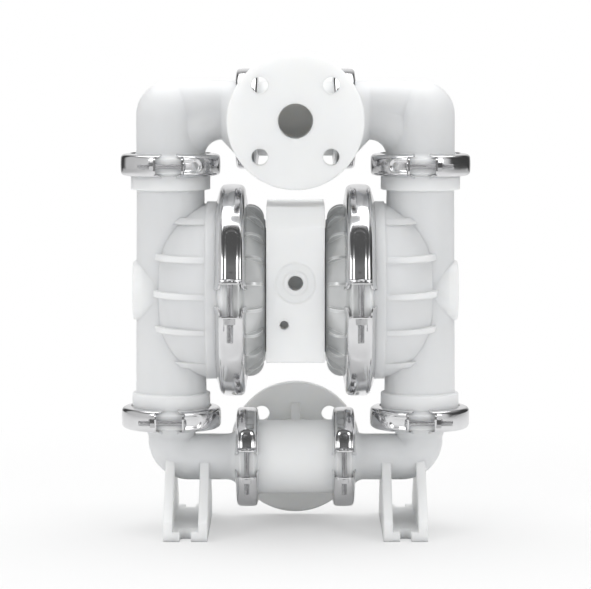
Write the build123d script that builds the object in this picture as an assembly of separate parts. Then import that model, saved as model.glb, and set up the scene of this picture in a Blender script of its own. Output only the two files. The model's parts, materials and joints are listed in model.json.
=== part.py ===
from build123d import *
import math
import os

# Air operated double diaphragm pump, clamped plastic body, DN40 flanged ports.
# Millimetres. +Z is up, the front is -Y, and the origin is on the floor at the pump's centre.
# Parts that come in a left and a right version are drawn on the right (+X) and mirrored.

# Overall layout
# Heights are stacked from the floor up, so that the pump grows as one when a height changes.
column_x = 139.7            # axis of each liquid column from the centre plane
diaphragm_x = 71.0          # middle plane of each diaphragm
manifold_joint_x = 54.0     # joint between elbow and tee
inlet_z = 80.5              # axis of the inlet tee and flange
lower_joint_rise = 45.5     # from the inlet axis to the joint under the liquid chamber
shaft_rise = 143.0          # from that joint to the diaphragm shaft
upper_joint_rise = 141.0    # from the shaft to the joint over the liquid chamber
discharge_rise = 51.0       # from that joint to the axis of the discharge tee and flange
lower_joint_z = inlet_z + lower_joint_rise
shaft_z = lower_joint_z + shaft_rise
upper_joint_z = shaft_z + upper_joint_rise
discharge_z = upper_joint_z + discharge_rise

# Clearances
press_gap = 0.05            # radial gap of a seated or screwed piece
running_gap = 0.05          # radial gap of a sliding fit
wedge_gap = 0.1             # between a clamp band and the rims it draws together
rest_gap = 0.3              # ball to seat

# Large clamp bands, on the diaphragm joints
large_band_outer = 118.4
large_band_inner = 100.2
large_band_base = 34.0
large_band_crown = 25.6
large_band_sheet = 2.5
large_band_corner = 6.5
large_band_split = 33.0     # distance between the faces of two opposite lugs
large_band_tail = 7.0       # how far the side legs run on past a lug
large_lug_width = 25.0
large_lug_height = 14.0
large_lug_thickness = 3.5
large_bolt_radius = 4.0

# Small clamp bands, on the column and manifold joints
small_band_outer = 56.0
small_band_inner = 45.2
small_band_base = 25.6
small_band_crown = 19.0
small_band_sheet = 2.0
small_band_corner = 2.8
small_band_split = 27.5
small_band_tail = 5.0
small_lug_width = 17.0
small_lug_height = 9.0
small_lug_thickness = 2.5
small_bolt_radius = 3.0

# Rims and walls
rim_cover_gap = 0.6         # rim edge to the inside of the band's crown
rim_face_round = 2.0        # on the edge of a large rim towards the diaphragm
wall = 6.0                  # moulded plastic wall
column_top_radius = 37.9
column_bottom_radius = 39.6
column_bore = 31.5
upper_collar_radius = 44.35
lower_collar_radius = 43.8
upper_collar_drop = 27.8    # from the upper joint to the end of its collar
lower_collar_rise = 28.1    # from the lower joint to the end of its collar
collar_softness = 1.5

# Liquid chamber dome and its ribs
dome_step = 2.2             # from the bore of the large band in to the dome
dome_radius = large_band_inner - dome_step
rim_disc_radius = 99.5
rim_disc_end = 28.0         # from the diaphragm plane
dome_arc_start = 20.0
dome_arc = 61.0
rib_envelope_start = 29.0
rib_envelope_arc = 57.4     # round along which the ribs fall off
rib_count = 5
rib_spacing = 40.0
rib_thickness = 6.5
boss_root_radius = 36.0
boss_tip_radius = 32.6
boss_tip_x = 181.7
boss_edge = 2.0

# Discharge elbow
discharge_leg_radius = 38.15
discharge_run_radius = 32.8
discharge_head = 42.3       # from the axis of the discharge tee to the top of the elbow
discharge_inner_bend = 19.0  # inside radius between run and leg
discharge_flare = 7.0       # height of the flare over the elbow's rim
discharge_flare_round = 5.0

# Inlet elbow and foot
inlet_tube_radius = 25.9
inlet_leg_radius = 29.5
inlet_bend = 20.0
inlet_bore = 20.0
inlet_flare = 12.0          # height of the flare under the elbow's rim
foot_x = 121.1
foot_width = 48.6
foot_length = 198.0
foot_thickness = 10.5
foot_gate = 28.4
foot_cheek_front = 21.0     # height of a cheek at the end of the foot
foot_cheek_under = 0.5      # top of a cheek under the tube's axis
foot_cheek_half_top = 22.0
foot_cheek_round = 4.0
slot_width = 12.5
slot_depth = 22.0

# Tees and flanges
tee_radius = 41.35
tee_bore = 26.0
neck_radius = 34.0
flange_radius = 75.0
flange_thickness = 19.0
flange_bolt_circle = 110.0
flange_hole_radius = 9.0
flange_hole_count = 4
port_radius = 19.0
discharge_face_y = -94.6
inlet_face_y = 94.6
gusset_width = 10.0
gusset_radius = 51.5
gusset_start = 18.0         # from the tee's axis
gusset_root = 4.0           # how deep it is rooted in the neck
gusset_lip = 2.0            # its height at the start, and the flat at its top
tee_edge = 1.5
flange_edge = 1.0
flange_hole_clear = 12.0    # free way for the bolt's nut behind the flange

# Centre block
block_half_width = 32.1
block_drop = 73.1           # from the shaft to the bottom
block_rise = 98.1           # from the shaft to the top
block_front_y = -85.0
block_back_y = 70.0
block_shoulder_drop = 22.5  # from the top to the lower edge of the sloped shoulder
block_shoulder_depth = 10.0
block_corner = 3.0
exhaust_rise = 14.6         # from the shaft to the exhaust port
exhaust_radius = 8.25
exhaust_depth = 34.0
exhaust_ring_radius = 22.0
exhaust_ring_depth = 1.6
exhaust_lip = 5.0           # raised land between the port and the recessed ring
exhaust_duct_rise = 38.4    # from the port to the duct that comes from the air valve
exhaust_duct_radius = 7.0
pilot_port_x = -12.4
pilot_port_drop = 31.5      # from the shaft to the signal port
pilot_port_radius = 4.85
pilot_port_depth = 22.0

# Air chambers
air_gasket_thickness = 1.6
air_gasket_radius = 69.5
air_wall = 5.0
air_rim_radius = 99.0
air_back_radius = 81.5
air_step = 1.5              # from the rim to the shoulder
air_edge = 2.5              # slope at both ends of the shoulder
air_edge_drop = 3.0
air_floor_round = 8.0       # inside, where the floor meets the shoulder
air_fin_count = 20
air_fin_thickness = 3.4
air_fin_bulge = 6.5         # how far a fin stands out
air_pilot_gap = 2.0         # round the pilot spool
air_opening_radius = 20.0
air_screw_circle = 64.0
air_screw_radius = 4.0
air_screw_length = 22.0
air_screw_head_radius = 6.5
air_screw_head_height = 6.0
screw_head_round = 0.6
screw_hole_gap = 0.4        # round every screw and bolt that passes through a hole
cavity_radius = dome_radius - wall  # bore of the diaphragm joint on both sides

# Diaphragm and pistons
diaphragm_thickness = 5.0
diaphragm_rim_thickness = 4.0
diaphragm_rim_inset = 7.3   # diaphragm's edge inside the edge of the rims that hold it
diaphragm_roll_depth = 9.0
outer_piston_radius = 54.0
outer_piston_height = 12.5
inner_piston_radius = outer_piston_radius + 1.0
diaphragm_flat_margin = 1.0 # flat middle beyond the pistons
inner_piston_height = 12.5
inner_piston_hub_radius = 16.0
inner_piston_hub_height = 2.0
piston_rim_height = 3.5     # height of a piston's edge
piston_rim_width = 9.0      # width of the flat behind it
stud_radius = 6.0
stud_length = 34.0
stud_chamfer = 0.8
stud_spare = 2.0            # depth of its hole beyond its end
disc_spring_radius = 15.0
disc_spring_thickness = 2.0
disc_spring_flat = 3.0      # width of the flat round its bore
disc_spring_dish = 0.5
shaft_radius = 10.0
stroke = 15.0               # of the shaft, each way

# Shaft bushing and seals
bushing_wall = 4.0
seal_wire = 3.0
seal_land = 1.0             # beside each shaft seal, and the height of its lip

# Pilot spool
pilot_offset = 32.0         # above the shaft
pilot_radius = 6.0
pilot_stroke = 3.0
pilot_sleeve_radius = 9.0
snap_ring_thickness = 1.2
snap_ring_reach = 1.2
sleeve_groove_places = (-18.0, -6.0, 6.0, 18.0)
sleeve_groove_width = 4.0
sleeve_groove_depth = 1.2
pilot_groove_places = (-13.0, 0.0, 13.0)
pilot_groove_width = 7.0
pilot_groove_depth = 1.8

# Ball valves
ball_radius = 25.0
seat_radius = 38.0
seat_height = 9.0
seat_bore = 22.0
seat_lip = 1.5              # how far the sealing edge stands into the bore
ball_lift = 13.0
cage_gap = 0.6
cage_bar_count = 4
cage_bar_thickness = 4.0
cage_hook_radius = 12.0
cage_hook_height = 6.0
joint_seal_radius = 46.0
manifold_seal_radius = 38.0
joint_seal_wire = 3.2
seal_side_gap = 0.3         # seal to each side of its groove

# Air valve on the back of the block
valve_plate_thickness = 6.0
valve_gasket_thickness = 1.5
valve_half_width = 27.0
valve_drop = 7.0            # from the shaft to the bottom of the air valve
valve_height = 92.0
valve_corner = 5.0
valve_depth = 44.0
valve_screw_inset = 6.0     # from the sides of the air valve, and one more from its ends
valve_screw_reach = 14.0    # into the block
valve_screw_head = 5.0      # radius and height of the head
working_port_x = 12.0
working_port_radius = 3.5
valve_bore = 14.0
spool_inset = 17.0          # spool axis from the face on the gasket
valve_cap_height = 8.0
valve_cap_plug = 6.0        # into the spool bore
valve_cap_overlap = 4.0     # of the head over the bore's edge
valve_cap_edge = 2.0
spool_stroke = 5.0
spool_end_gap = 0.5
spool_land_count = 4
spool_land_height = 9.0
spool_core_radius = 8.0
air_inlet_radius = 9.3
air_inlet_depth = 11.0
air_passage_radius = 5.5    # from the air inlet to the spool bore
valve_screw_radius = 3.0

# Derived places
upper_collar_z = upper_joint_z - upper_collar_drop
lower_collar_z = lower_joint_z + lower_collar_rise
discharge_top_z = discharge_z + discharge_head
foot_cheek_top = inlet_z - foot_cheek_under
block_bottom_z = shaft_z - block_drop
block_top_z = shaft_z + block_rise
block_shoulder_z = block_top_z - block_shoulder_drop
exhaust_z = shaft_z + exhaust_rise
exhaust_duct_z = exhaust_z + exhaust_duct_rise
pilot_port_z = shaft_z - pilot_port_drop
pilot_z = shaft_z + pilot_offset
valve_bottom_z = shaft_z - valve_drop
valve_top_z = valve_bottom_z + valve_height
valve_middle_z = (valve_bottom_z + valve_top_z) / 2
diaphragm_outer_radius = large_band_outer - large_band_sheet - rim_cover_gap - diaphragm_rim_inset
air_back_x = block_half_width + air_gasket_thickness
air_floor_x = air_back_x + air_wall
inner_piston_x = diaphragm_x - diaphragm_thickness / 2 - inner_piston_height
shaft_half_length = inner_piston_x - disc_spring_thickness
inner_piston_face_x = inner_piston_x + inner_piston_hub_height
lower_seat_top_z = lower_joint_z + seat_height
ball_rise = math.sqrt(ball_radius**2 - seat_bore**2) + rest_gap
lower_ball_z = lower_seat_top_z + ball_rise
upper_ball_z = upper_joint_z + ball_rise
pilot_end_x = inner_piston_face_x - stroke + pilot_stroke - rest_gap
run_z = discharge_top_z - discharge_run_radius
crown_z = discharge_top_z - discharge_leg_radius
valve_plate_y = block_back_y + valve_plate_thickness
valve_face_y = valve_plate_y + valve_gasket_thickness
valve_back_y = valve_face_y + valve_depth
spool_y = valve_face_y + spool_inset


# Small helpers for outlines and turned shapes

def outline(points, rounds=()):
    """A closed flat outline through the points. rounds lists (point number, radius)."""
    shape = make_face(Polyline(*points, close=True))
    for number, radius in rounds:
        corner = shape.vertices().sort_by_distance(Vector(*points[number], 0))[0]
        shape = fillet(corner, radius)
    return shape


def turned_x(shape, height=shaft_z):
    """Turns an outline in (x, radius) about an axis along X at this height."""
    plane = Plane(origin=(0, 0, height), x_dir=(1, 0, 0), z_dir=(0, -1, 0))
    return revolve(plane * shape, Axis((0, 0, height), (1, 0, 0)), 360)


def turned_z(shape, x=column_x, y=0.0):
    """Turns an outline in (radius, z) about an upright axis."""
    plane = Plane(origin=(x, y, 0), x_dir=(1, 0, 0), z_dir=(0, -1, 0))
    return revolve(plane * shape, Axis((x, y, 0), (0, 0, 1)), 360)


def rod_x(radius, x_from, x_to, y=0.0, z=shaft_z):
    """A round bar along X between two places, in either order."""
    low, high = sorted((x_from, x_to))
    plane = Plane(origin=(low, y, z), x_dir=(0, 1, 0), z_dir=(1, 0, 0))
    return extrude(plane * Circle(radius), high - low)


def rod_y(radius, y_from, y_to, x=0.0, z=shaft_z):
    """A round bar along Y between two places, in either order."""
    low, high = sorted((y_from, y_to))
    plane = Plane(origin=(x, low, z), x_dir=(1, 0, 0), z_dir=(0, 1, 0))
    return extrude(plane * Circle(radius), high - low)


def rod_z(radius, z_from, z_to, x=column_x, y=0.0):
    """A round bar along Z."""
    return extrude(Plane(origin=(x, y, z_from)) * Circle(radius), z_to - z_from)


def block(x_from, x_to, y_from, y_to, z_from, z_to):
    """A square block between two corners."""
    size = (abs(x_to - x_from), abs(y_to - y_from), abs(z_to - z_from))
    middle = ((x_from + x_to) / 2, (y_from + y_to) / 2, (z_from + z_to) / 2)
    return Pos(*middle) * Box(*size)


def disc_x(radius, x, z):
    """A flat round face across X."""
    return Plane(origin=(x, 0, z), x_dir=(0, 1, 0), z_dir=(1, 0, 0)) * Circle(radius)


def bowl_of(start, radius, arc, base):
    """Bowl along X: a cylinder from base to start, a quarter round of this arc, then a flat end."""
    flat = radius - arc
    near, turn, far = diaphragm_x + base, diaphragm_x + start, diaphragm_x + start + arc
    side = Polyline((near, 0), (near, radius), (turn, radius))
    curve = RadiusArc((turn, radius), (far, flat), arc)
    close = Polyline((far, flat), (far, 0), (near, 0))
    return turned_x(make_face(side + curve + close))


def mirrored(solid):
    """The left version of a piece drawn on the right."""
    return mirror(solid, about=Plane.YZ)


def group(solids):
    """Separate solids that share one node."""
    return Compound(children=[piece for solid in solids for piece in solid.solids()])


def save(name, solid):
    export_step(solid, os.path.join("parts", name + ".step"))


# Clamp bands. Drawn about Z with the split across X, then placed on a joint.

large_band = {
    "outer": large_band_outer, "inner": large_band_inner, "base": large_band_base,
    "crown": large_band_crown, "sheet": large_band_sheet, "corner": large_band_corner,
    "split": large_band_split, "tail": large_band_tail, "lug_width": large_lug_width,
    "lug_height": large_lug_height, "lug": large_lug_thickness, "bolt": large_bolt_radius,
}
small_band = {
    "outer": small_band_outer, "inner": small_band_inner, "base": small_band_base,
    "crown": small_band_crown, "sheet": small_band_sheet, "corner": small_band_corner,
    "split": small_band_split, "tail": small_band_tail, "lug_width": small_lug_width,
    "lug_height": small_lug_height, "lug": small_lug_thickness, "bolt": small_bolt_radius,
}


def band_slope(band):
    """How much a side leg widens for each millimetre towards the axis."""
    return (band["base"] - band["crown"]) / 2 / (band["outer"] - band["inner"])


def inner_half_width(band, radius):
    """Half the width inside the band at this radius."""
    slope = band_slope(band)
    outside = band["crown"] / 2 + slope * (band["outer"] - radius)
    return outside - band["sheet"] * math.sqrt(1 + slope**2)


def rim_radius(band):
    return band["outer"] - band["sheet"] - rim_cover_gap


def rim_points(band, face, foot_radius):
    """Wedge shaped rim: (distance from the joint plane, radius), from the face outwards."""
    top = rim_radius(band)
    return [
        (face, top),
        (inner_half_width(band, top) - wedge_gap, top),
        (inner_half_width(band, foot_radius) - wedge_gap, foot_radius),
    ]


def bolt_line(band):
    """Distance of a clamp bolt from the axis of its band: a little over half way up the lug."""
    return band["outer"] + band["lug_height"] * 0.56


def bolt_shank(band):
    return band["bolt"] - 0.1


def band_section(band):
    """Channel section in (radius, z), open towards the axis."""
    slope = band_slope(band)
    inset = band["sheet"] * math.sqrt(1 + slope**2)
    inner, outer, sheet = band["inner"], band["outer"], band["sheet"]
    base, crown = band["base"] / 2, band["crown"] / 2
    top = outer - sheet
    under = inner_half_width(band, top)
    points = [
        (inner, -base), (outer, -crown), (outer, crown), (inner, base),
        (inner, base - inset), (top, under), (top, -under), (inner, inset - base),
    ]
    inside_corner = band["corner"] - sheet
    rounds = [(1, band["corner"]), (2, band["corner"])]
    if inside_corner > 0.4:
        rounds += [(5, inside_corner), (6, inside_corner)]
    return outline(points, rounds)


def band_lug(band, side):
    """Lug at one end of a half band, blended into the crown, with its bolt hole."""
    start = band["split"] / 2
    reach = start + band["lug"]
    blend = band["lug"] * 0.8
    end = reach + 4 * blend
    top = band["outer"] + band["lug_height"]
    middle = band["outer"] - band["sheet"] / 2
    points = [
        (start, math.sqrt(middle**2 - start**2)), (start, top), (reach, top),
        (reach, math.sqrt(band["outer"] ** 2 - reach**2)), (end, math.sqrt(middle**2 - end**2)),
    ]
    shape = outline(points, [(3, blend)])
    lug = extrude(shape, band["lug_width"] / 2, both=True)
    corners = lug.edges().filter_by(Axis.X).group_by(Axis.Y)[-1]
    lug = fillet(corners, band["lug_width"] * 0.22)
    hole = Pos(0, bolt_line(band), 0) * (Rot(0, 90, 0) * Cylinder(band["bolt"] + screw_hole_gap, 4 * reach))
    lug = lug - hole
    return lug if side > 0 else mirror(lug, about=Plane.XZ)


def half_band(band):
    """The half on the +X side of the split."""
    ring = revolve(Plane.XZ * band_section(band), Axis.Z, 360)
    size = band["outer"] * 2
    height = band["base"] + 2
    keep = Pos(band["split"] / 2 + size / 2, 0, 0) * Box(size, size + 2, height)
    half = ring & keep
    crown_root = band["outer"] - band["sheet"] - band["corner"] * 0.55
    legs = ring & Cylinder(crown_root, height)
    tail_start = band["split"] / 2 - band["tail"]
    tails = legs & (Pos(tail_start + size / 2, 0, 0) * Box(size, size + 2, height))
    half = half + tails
    for side in (1, -1):
        half = half + band_lug(band, side)
    return half


def clamp_bolt(band, side):
    """Low headed bolt across the split, head on the +X half."""
    shank = bolt_shank(band)
    grip = band["split"] / 2 + band["lug"]
    tail = 5.2 * band["bolt"]
    head_height = band["bolt"] * 0.9
    points = [
        (0, -grip - tail), (shank * 0.7, -grip - tail), (shank, -grip - tail + shank * 0.4),
        (shank, grip), (shank * 1.65, grip), (shank * 1.65, grip + head_height * 0.5),
        (shank * 1.1, grip + head_height), (0, grip + head_height),
    ]
    bolt = revolve(Plane.XZ * outline(points), Axis.Z, 360)
    return Pos(0, side * bolt_line(band), 0) * (Rot(0, 90, 0) * bolt)


def clamp_nut(band, side):
    """Hexagon nut against the lug of the -X half."""
    across = band["bolt"] * 2 * 1.62
    height = band["bolt"] * 1.6
    seat = band["split"] / 2 + band["lug"]
    hexagon = RegularPolygon(across / 2, 6, major_radius=False)
    nut = extrude(hexagon, height)
    cone = Pos(0, 0, height / 2) * Cone(across * 0.577 + height, across * 0.54, height)
    nut = nut & cone
    nut = nut - Cylinder(bolt_shank(band) + press_gap, 3 * height)
    return Pos(-seat, side * bolt_line(band), 0) * (Rot(0, -90, 0) * nut)


def ring_place(kind, side, height=0.0):
    """Plane of a band: its normal is the ring's axis, its X the direction of the split."""
    if kind == "column":
        return Plane(origin=(side * column_x, 0, height), x_dir=(-side, 0, 0), z_dir=(0, 0, 1))
    x = diaphragm_x if kind == "chamber" else manifold_joint_x
    return Plane(origin=(side * x, 0, height), x_dir=(0, 0, 1), z_dir=(1, 0, 0))


def both_halves(band):
    upper = half_band(band)
    return [upper, mirror(upper, about=Plane.YZ)]


def large_rim_rounds():
    """Roundings of a large rim: (outline point, radius). The second clears the inside corner of the band."""
    return [(1, rim_face_round), (2, large_band_corner - large_band_sheet + 0.5)]


# Liquid chambers

def column_joint(z, direction):
    """Outline points (radius, z) of a column rim that faces z, the pipe lying in this direction."""
    return [(radius, z + direction * along) for along, radius in rim_points(small_band, 0, small_band_inner)]


def chamber_column():
    """Tapered column with a rim at each end and a collar behind each rim."""
    upper = column_joint(upper_joint_z, -1)
    lower = column_joint(lower_joint_z, 1)
    top_back = upper[2][1]
    low_back = lower[2][1]
    points = [(0, lower_joint_z)] + lower
    points += [(lower_collar_radius, low_back), (lower_collar_radius, lower_collar_z)]
    points += [(column_bottom_radius, lower_collar_z), (column_top_radius, upper_collar_z)]
    points += [(upper_collar_radius, upper_collar_z), (upper_collar_radius, top_back)]
    points += upper[::-1] + [(0, upper_joint_z)]
    first_collar = len(lower) + 2
    rounds = [(first_collar + step, collar_softness) for step in range(4)]
    return turned_z(outline(points, rounds))


def dome_shape():
    """Outer skin of the pumping chamber with its rim."""
    face = diaphragm_rim_thickness / 2
    rim = rim_points(large_band, face, rim_disc_radius)
    points = [(diaphragm_x + face, 0)] + [(diaphragm_x + along, radius) for along, radius in rim]
    points += [(diaphragm_x + rim_disc_end, rim_disc_radius), (diaphragm_x + rim_disc_end, 0)]
    rim_disc = turned_x(outline(points, large_rim_rounds()))
    return rim_disc + bowl_of(dome_arc_start, dome_radius, dome_arc, face)


def chamber_ribs():
    """Level stiffening ribs that wrap round the dome and the column."""
    face = diaphragm_rim_thickness / 2
    envelope = bowl_of(rib_envelope_start, dome_radius, rib_envelope_arc, face)
    ribs = []
    for number in range(rib_count):
        z = shaft_z + (number - (rib_count - 1) / 2) * rib_spacing
        slab = block(diaphragm_x + rim_disc_end - 1, boss_tip_x, -dome_radius, dome_radius,
                     z - rib_thickness / 2, z + rib_thickness / 2)
        ribs.append(envelope & slab)
    return ribs


def end_boss():
    """Shallow round boss on the outer side of the column."""
    points = [
        (column_x, 0), (column_x, boss_root_radius),
        (column_x + column_bore, boss_root_radius), (boss_tip_x, boss_tip_radius), (boss_tip_x, 0),
    ]
    return turned_x(outline(points, [(3, boss_edge)]))


def cage(seat_z, ball_z):
    """Guide bars round a ball, hooked inwards above its highest place."""
    inner = ball_radius + cage_gap
    outer = column_bore + 1.0
    hook_z = ball_z + ball_radius + ball_lift + cage_gap
    bars = []
    for number in range(cage_bar_count):
        angle = 45 + number * 360 / cage_bar_count
        bar = block(inner, outer, -cage_bar_thickness / 2, cage_bar_thickness / 2, seat_z, hook_z)
        hook = block(cage_hook_radius, outer, -cage_bar_thickness / 2, cage_bar_thickness / 2,
                     hook_z, hook_z + cage_hook_height)
        bars.append(Pos(column_x, 0, 0) * (Rot(0, 0, angle) * (bar + hook)))
    return bars


def seal_groove(z, direction):
    """Ring groove for a joint seal in the rim face at z."""
    half = joint_seal_wire / 2 + seal_side_gap
    depth = joint_seal_wire + press_gap
    points = [
        (joint_seal_radius - half, z), (joint_seal_radius + half, z),
        (joint_seal_radius + half, z + direction * depth), (joint_seal_radius - half, z + direction * depth),
    ]
    return outline(points)


def liquid_chamber():
    body = dome_shape() + chamber_column() + end_boss()
    for rib in chamber_ribs():
        body = body + rib
    cavity = bowl_of(dome_arc_start, cavity_radius, dome_arc - wall, -1)
    body = body - cavity
    body = body - rod_z(column_bore, lower_joint_z - 1, upper_joint_z + 1)
    for low, high in ((lower_joint_z - 1, lower_seat_top_z), (upper_joint_z - seat_height, upper_joint_z + 1)):
        body = body - rod_z(seat_radius + press_gap, low, high)
    body = body - turned_z(seal_groove(lower_joint_z, 1)) - turned_z(seal_groove(upper_joint_z, -1))
    for bar in cage(lower_seat_top_z, lower_ball_z):
        body = body + bar
    return body


# Ball valves

def valve_seat(z):
    """Seat ring with a rounded sealing edge."""
    points = [
        (seat_bore, z), (seat_radius, z), (seat_radius, z + seat_height),
        (seat_bore, z + seat_height), (seat_bore - seat_lip, z + seat_height * 0.6),
    ]
    return turned_z(outline(points))


def ball(z):
    return Pos(column_x, 0, z) * Sphere(ball_radius)


def ring_seal(radius, wire):
    """Round section seal about Z at the origin."""
    return Torus(radius, wire / 2)


def joint_seals():
    seals = []
    for side in (1, -1):
        for z, direction in ((lower_joint_z, 1), (upper_joint_z, -1)):
            height = z + direction * (joint_seal_wire / 2 + press_gap / 2)
            seals.append(Pos(side * column_x, 0, height) * ring_seal(joint_seal_radius, joint_seal_wire))
    return group(seals)


# Elbows and tees

def manifold_rim(z, neck, bend):
    """Rim at the manifold joint that flares out of a tube of radius neck, pipe on the +X side."""
    rim = rim_points(small_band, 0, small_band_inner)
    points = [(manifold_joint_x, 0)] + [(manifold_joint_x + along, radius) for along, radius in rim]
    back = points[-1][0]
    end = back + bend + 4
    points += [(back, neck), (end, neck), (end, 0)]
    return turned_x(outline(points, [(4, bend)]), z)


def discharge_elbow():
    """Tall elbow: the leg over the column ends in a ball shaped corner, and the run necks down to the tee."""
    leg = rod_z(discharge_leg_radius, upper_joint_z, crown_z)
    dome = Pos(column_x, 0, crown_z) * Sphere(discharge_leg_radius)
    rim = column_joint(upper_joint_z, 1)
    rim_back = rim[2][1]
    points = [(0, upper_joint_z)] + rim + [(discharge_leg_radius, rim_back)]
    points += [(discharge_leg_radius, rim_back + discharge_flare), (0, rim_back + discharge_flare)]
    flared_rim = turned_z(outline(points, [(4, discharge_flare_round)]))
    neck_start = manifold_joint_x + inner_half_width(small_band, small_band_inner)
    neck_end = column_x - discharge_leg_radius - discharge_inner_bend
    turn_radius = discharge_inner_bend + discharge_run_radius
    run = rod_x(discharge_run_radius, neck_end, column_x, 0, run_z)
    turn_plane = Plane(origin=(neck_end, 0, run_z - turn_radius), x_dir=(0, 0, 1), z_dir=(-1, 0, 0))
    turn_section = turn_plane * (Pos(turn_radius, 0) * Circle(discharge_run_radius))
    turn = revolve(turn_section, Axis((neck_end, 0, run_z - turn_radius), (0, 1, 0)), 90)
    corner = leg + run + turn
    neck = loft([disc_x(discharge_run_radius, neck_end, run_z), disc_x(discharge_head, neck_start, discharge_z)])
    joint = [(manifold_joint_x, 0)]
    joint += [(manifold_joint_x + along, radius) for along, radius in rim_points(small_band, 0, small_band_inner)]
    joint += [(neck_start, small_band_inner), (neck_start, 0)]
    body = corner + dome + flared_rim + neck + turned_x(outline(joint), discharge_z)
    bore = rod_z(column_bore, upper_joint_z - 1, crown_z) + Pos(column_x, 0, crown_z) * Sphere(column_bore)
    run_bore = discharge_run_radius - wall
    bore = bore + rod_x(run_bore, neck_end, column_x, 0, run_z)
    bore = bore + loft([disc_x(run_bore, neck_end, run_z), disc_x(tee_bore, manifold_joint_x, discharge_z)])
    body = body - bore
    for bar in cage(upper_joint_z, upper_ball_z):
        body = body + bar
    return body


def bend_solid(radius, bend):
    """Quarter bend that turns from the column down into the run, for tubes wider than the bend."""
    centre = (column_x - bend, 0, inlet_z + bend)
    section = Plane(origin=(column_x - bend, 0, inlet_z + bend), x_dir=(1, 0, 0), z_dir=(0, 0, -1))
    circle = Pos(bend, 0) * Circle(radius)
    outside = Pos(radius * 2 + 0.01, 0) * Rectangle(radius * 4, radius * 4)
    half = circle & outside
    return revolve(section * half, Axis(centre, (0, 1, 0)), 90)


def inlet_elbow():
    """Inlet elbow with the foot moulded under it."""
    leg_end = inlet_z + inlet_bend
    leg = rod_z(inlet_tube_radius, leg_end, lower_joint_z)
    run = rod_x(inlet_tube_radius, manifold_joint_x, column_x - inlet_bend, 0, inlet_z)
    corner = bend_solid(inlet_tube_radius, inlet_bend)
    rim = column_joint(lower_joint_z, -1)
    rim_back = rim[2][1]
    points = [(0, lower_joint_z)] + rim
    points += [(inlet_leg_radius, rim_back), (inlet_tube_radius, rim_back - inlet_flare), (0, rim_back - inlet_flare)]
    flared_rim = turned_z(outline(points, [(4, inlet_flare / 4)]))
    body = leg + run + corner + flared_rim + manifold_rim(inlet_z, inlet_tube_radius, inlet_flare)
    body = body + foot()
    bore = rod_z(inlet_bore, leg_end, lower_joint_z + 1) + bend_solid(inlet_bore, inlet_bend)
    bore = bore + rod_x(inlet_bore, manifold_joint_x - 1, column_x - inlet_bend, 0, inlet_z)
    return body - bore


def foot():
    """Base plate with two cheeks up to the tube and an open bolt slot at each end."""
    half = foot_length / 2
    low_x = foot_x - foot_width / 2
    high_x = foot_x + foot_width / 2
    base = block(low_x, high_x, -half, half, 0, foot_thickness)
    slots = []
    slot_start, slot_end = foot_x - slot_width / 2, foot_x + slot_width / 2
    for side in (1, -1):
        end = side * (half - slot_depth + slot_width / 2)
        slots.append(rod_z(slot_width / 2, -1, foot_thickness + 1, foot_x, end))
        slots.append(block(slot_start, slot_end, end, side * (half + 1), -1, foot_thickness + 1))
    cheek = outline([
        (-half, 0), (-half, foot_cheek_front), (-foot_cheek_half_top, foot_cheek_top),
        (foot_cheek_half_top, foot_cheek_top), (half, foot_cheek_front), (half, 0),
    ], [(1, foot_cheek_round), (4, foot_cheek_round)])
    cheeks = []
    for start, finish in ((low_x, foot_x - foot_gate / 2), (foot_x + foot_gate / 2, high_x)):
        plane = Plane(origin=(start, 0, 0), x_dir=(0, 1, 0), z_dir=(1, 0, 0))
        cheeks.append(extrude(plane * cheek, finish - start))
    body = base - slots[0] - slots[1] - slots[2] - slots[3]
    for piece in cheeks:
        body = body + piece
    return body


def tee(z, face_y):
    """Manifold tee with a rim at each end and a flanged port towards face_y."""
    direction = 1 if face_y > 0 else -1
    rim = rim_points(small_band, 0, small_band_inner)
    points = [(-manifold_joint_x, 0)]
    points += [(along - manifold_joint_x, radius) for along, radius in rim]
    points += [(points[-1][0], tee_radius), (-points[-1][0], tee_radius)]
    points += [(manifold_joint_x - along, radius) for along, radius in rim[::-1]] + [(manifold_joint_x, 0)]
    body = turned_x(outline(points, [(4, tee_edge), (5, tee_edge)]), z)
    back_face = face_y - direction * flange_thickness
    neck = rod_y(neck_radius, 0, face_y, 0, z)
    disc = chamfer(rod_y(flange_radius, back_face, face_y, 0, z).edges(), flange_edge)
    body = body + neck + disc
    root = neck_radius - gusset_root
    into_flange = abs(back_face) + 1
    for turn in (0, 180):
        gusset = outline([
            (gusset_start, root), (gusset_start, neck_radius + gusset_lip),
            (abs(back_face) - gusset_lip, gusset_radius), (into_flange, gusset_radius), (into_flange, root),
        ])
        plane = Plane(origin=(0, 0, z), x_dir=(0, direction, 0), z_dir=(direction, 0, 0))
        plate = extrude(plane * gusset, gusset_width / 2, both=True)
        body = body + plate.rotate(Axis((0, 0, z), (0, 1, 0)), turn)
    body = body - rod_x(tee_bore, -manifold_joint_x - 1, manifold_joint_x + 1, 0, z)
    body = body - rod_y(port_radius, 0, face_y + direction, 0, z)
    for number in range(flange_hole_count):
        angle = math.radians(45 + number * 360 / flange_hole_count)
        x = flange_bolt_circle / 2 * math.cos(angle)
        up = flange_bolt_circle / 2 * math.sin(angle)
        body = body - rod_y(flange_hole_radius, back_face - direction * flange_hole_clear, face_y + direction, x, z + up)
    for side in (1, -1):
        body = body - manifold_groove(side, z)
    return body


def manifold_groove(side, z):
    """Groove for a manifold seal in the end face of a tee."""
    half = joint_seal_wire / 2 + seal_side_gap
    edge = side * manifold_joint_x
    floor = edge - side * (joint_seal_wire + press_gap)
    inner, outer = manifold_seal_radius - half, manifold_seal_radius + half
    return turned_x(outline([(edge, inner), (edge, outer), (floor, outer), (floor, inner)]), z)


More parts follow.
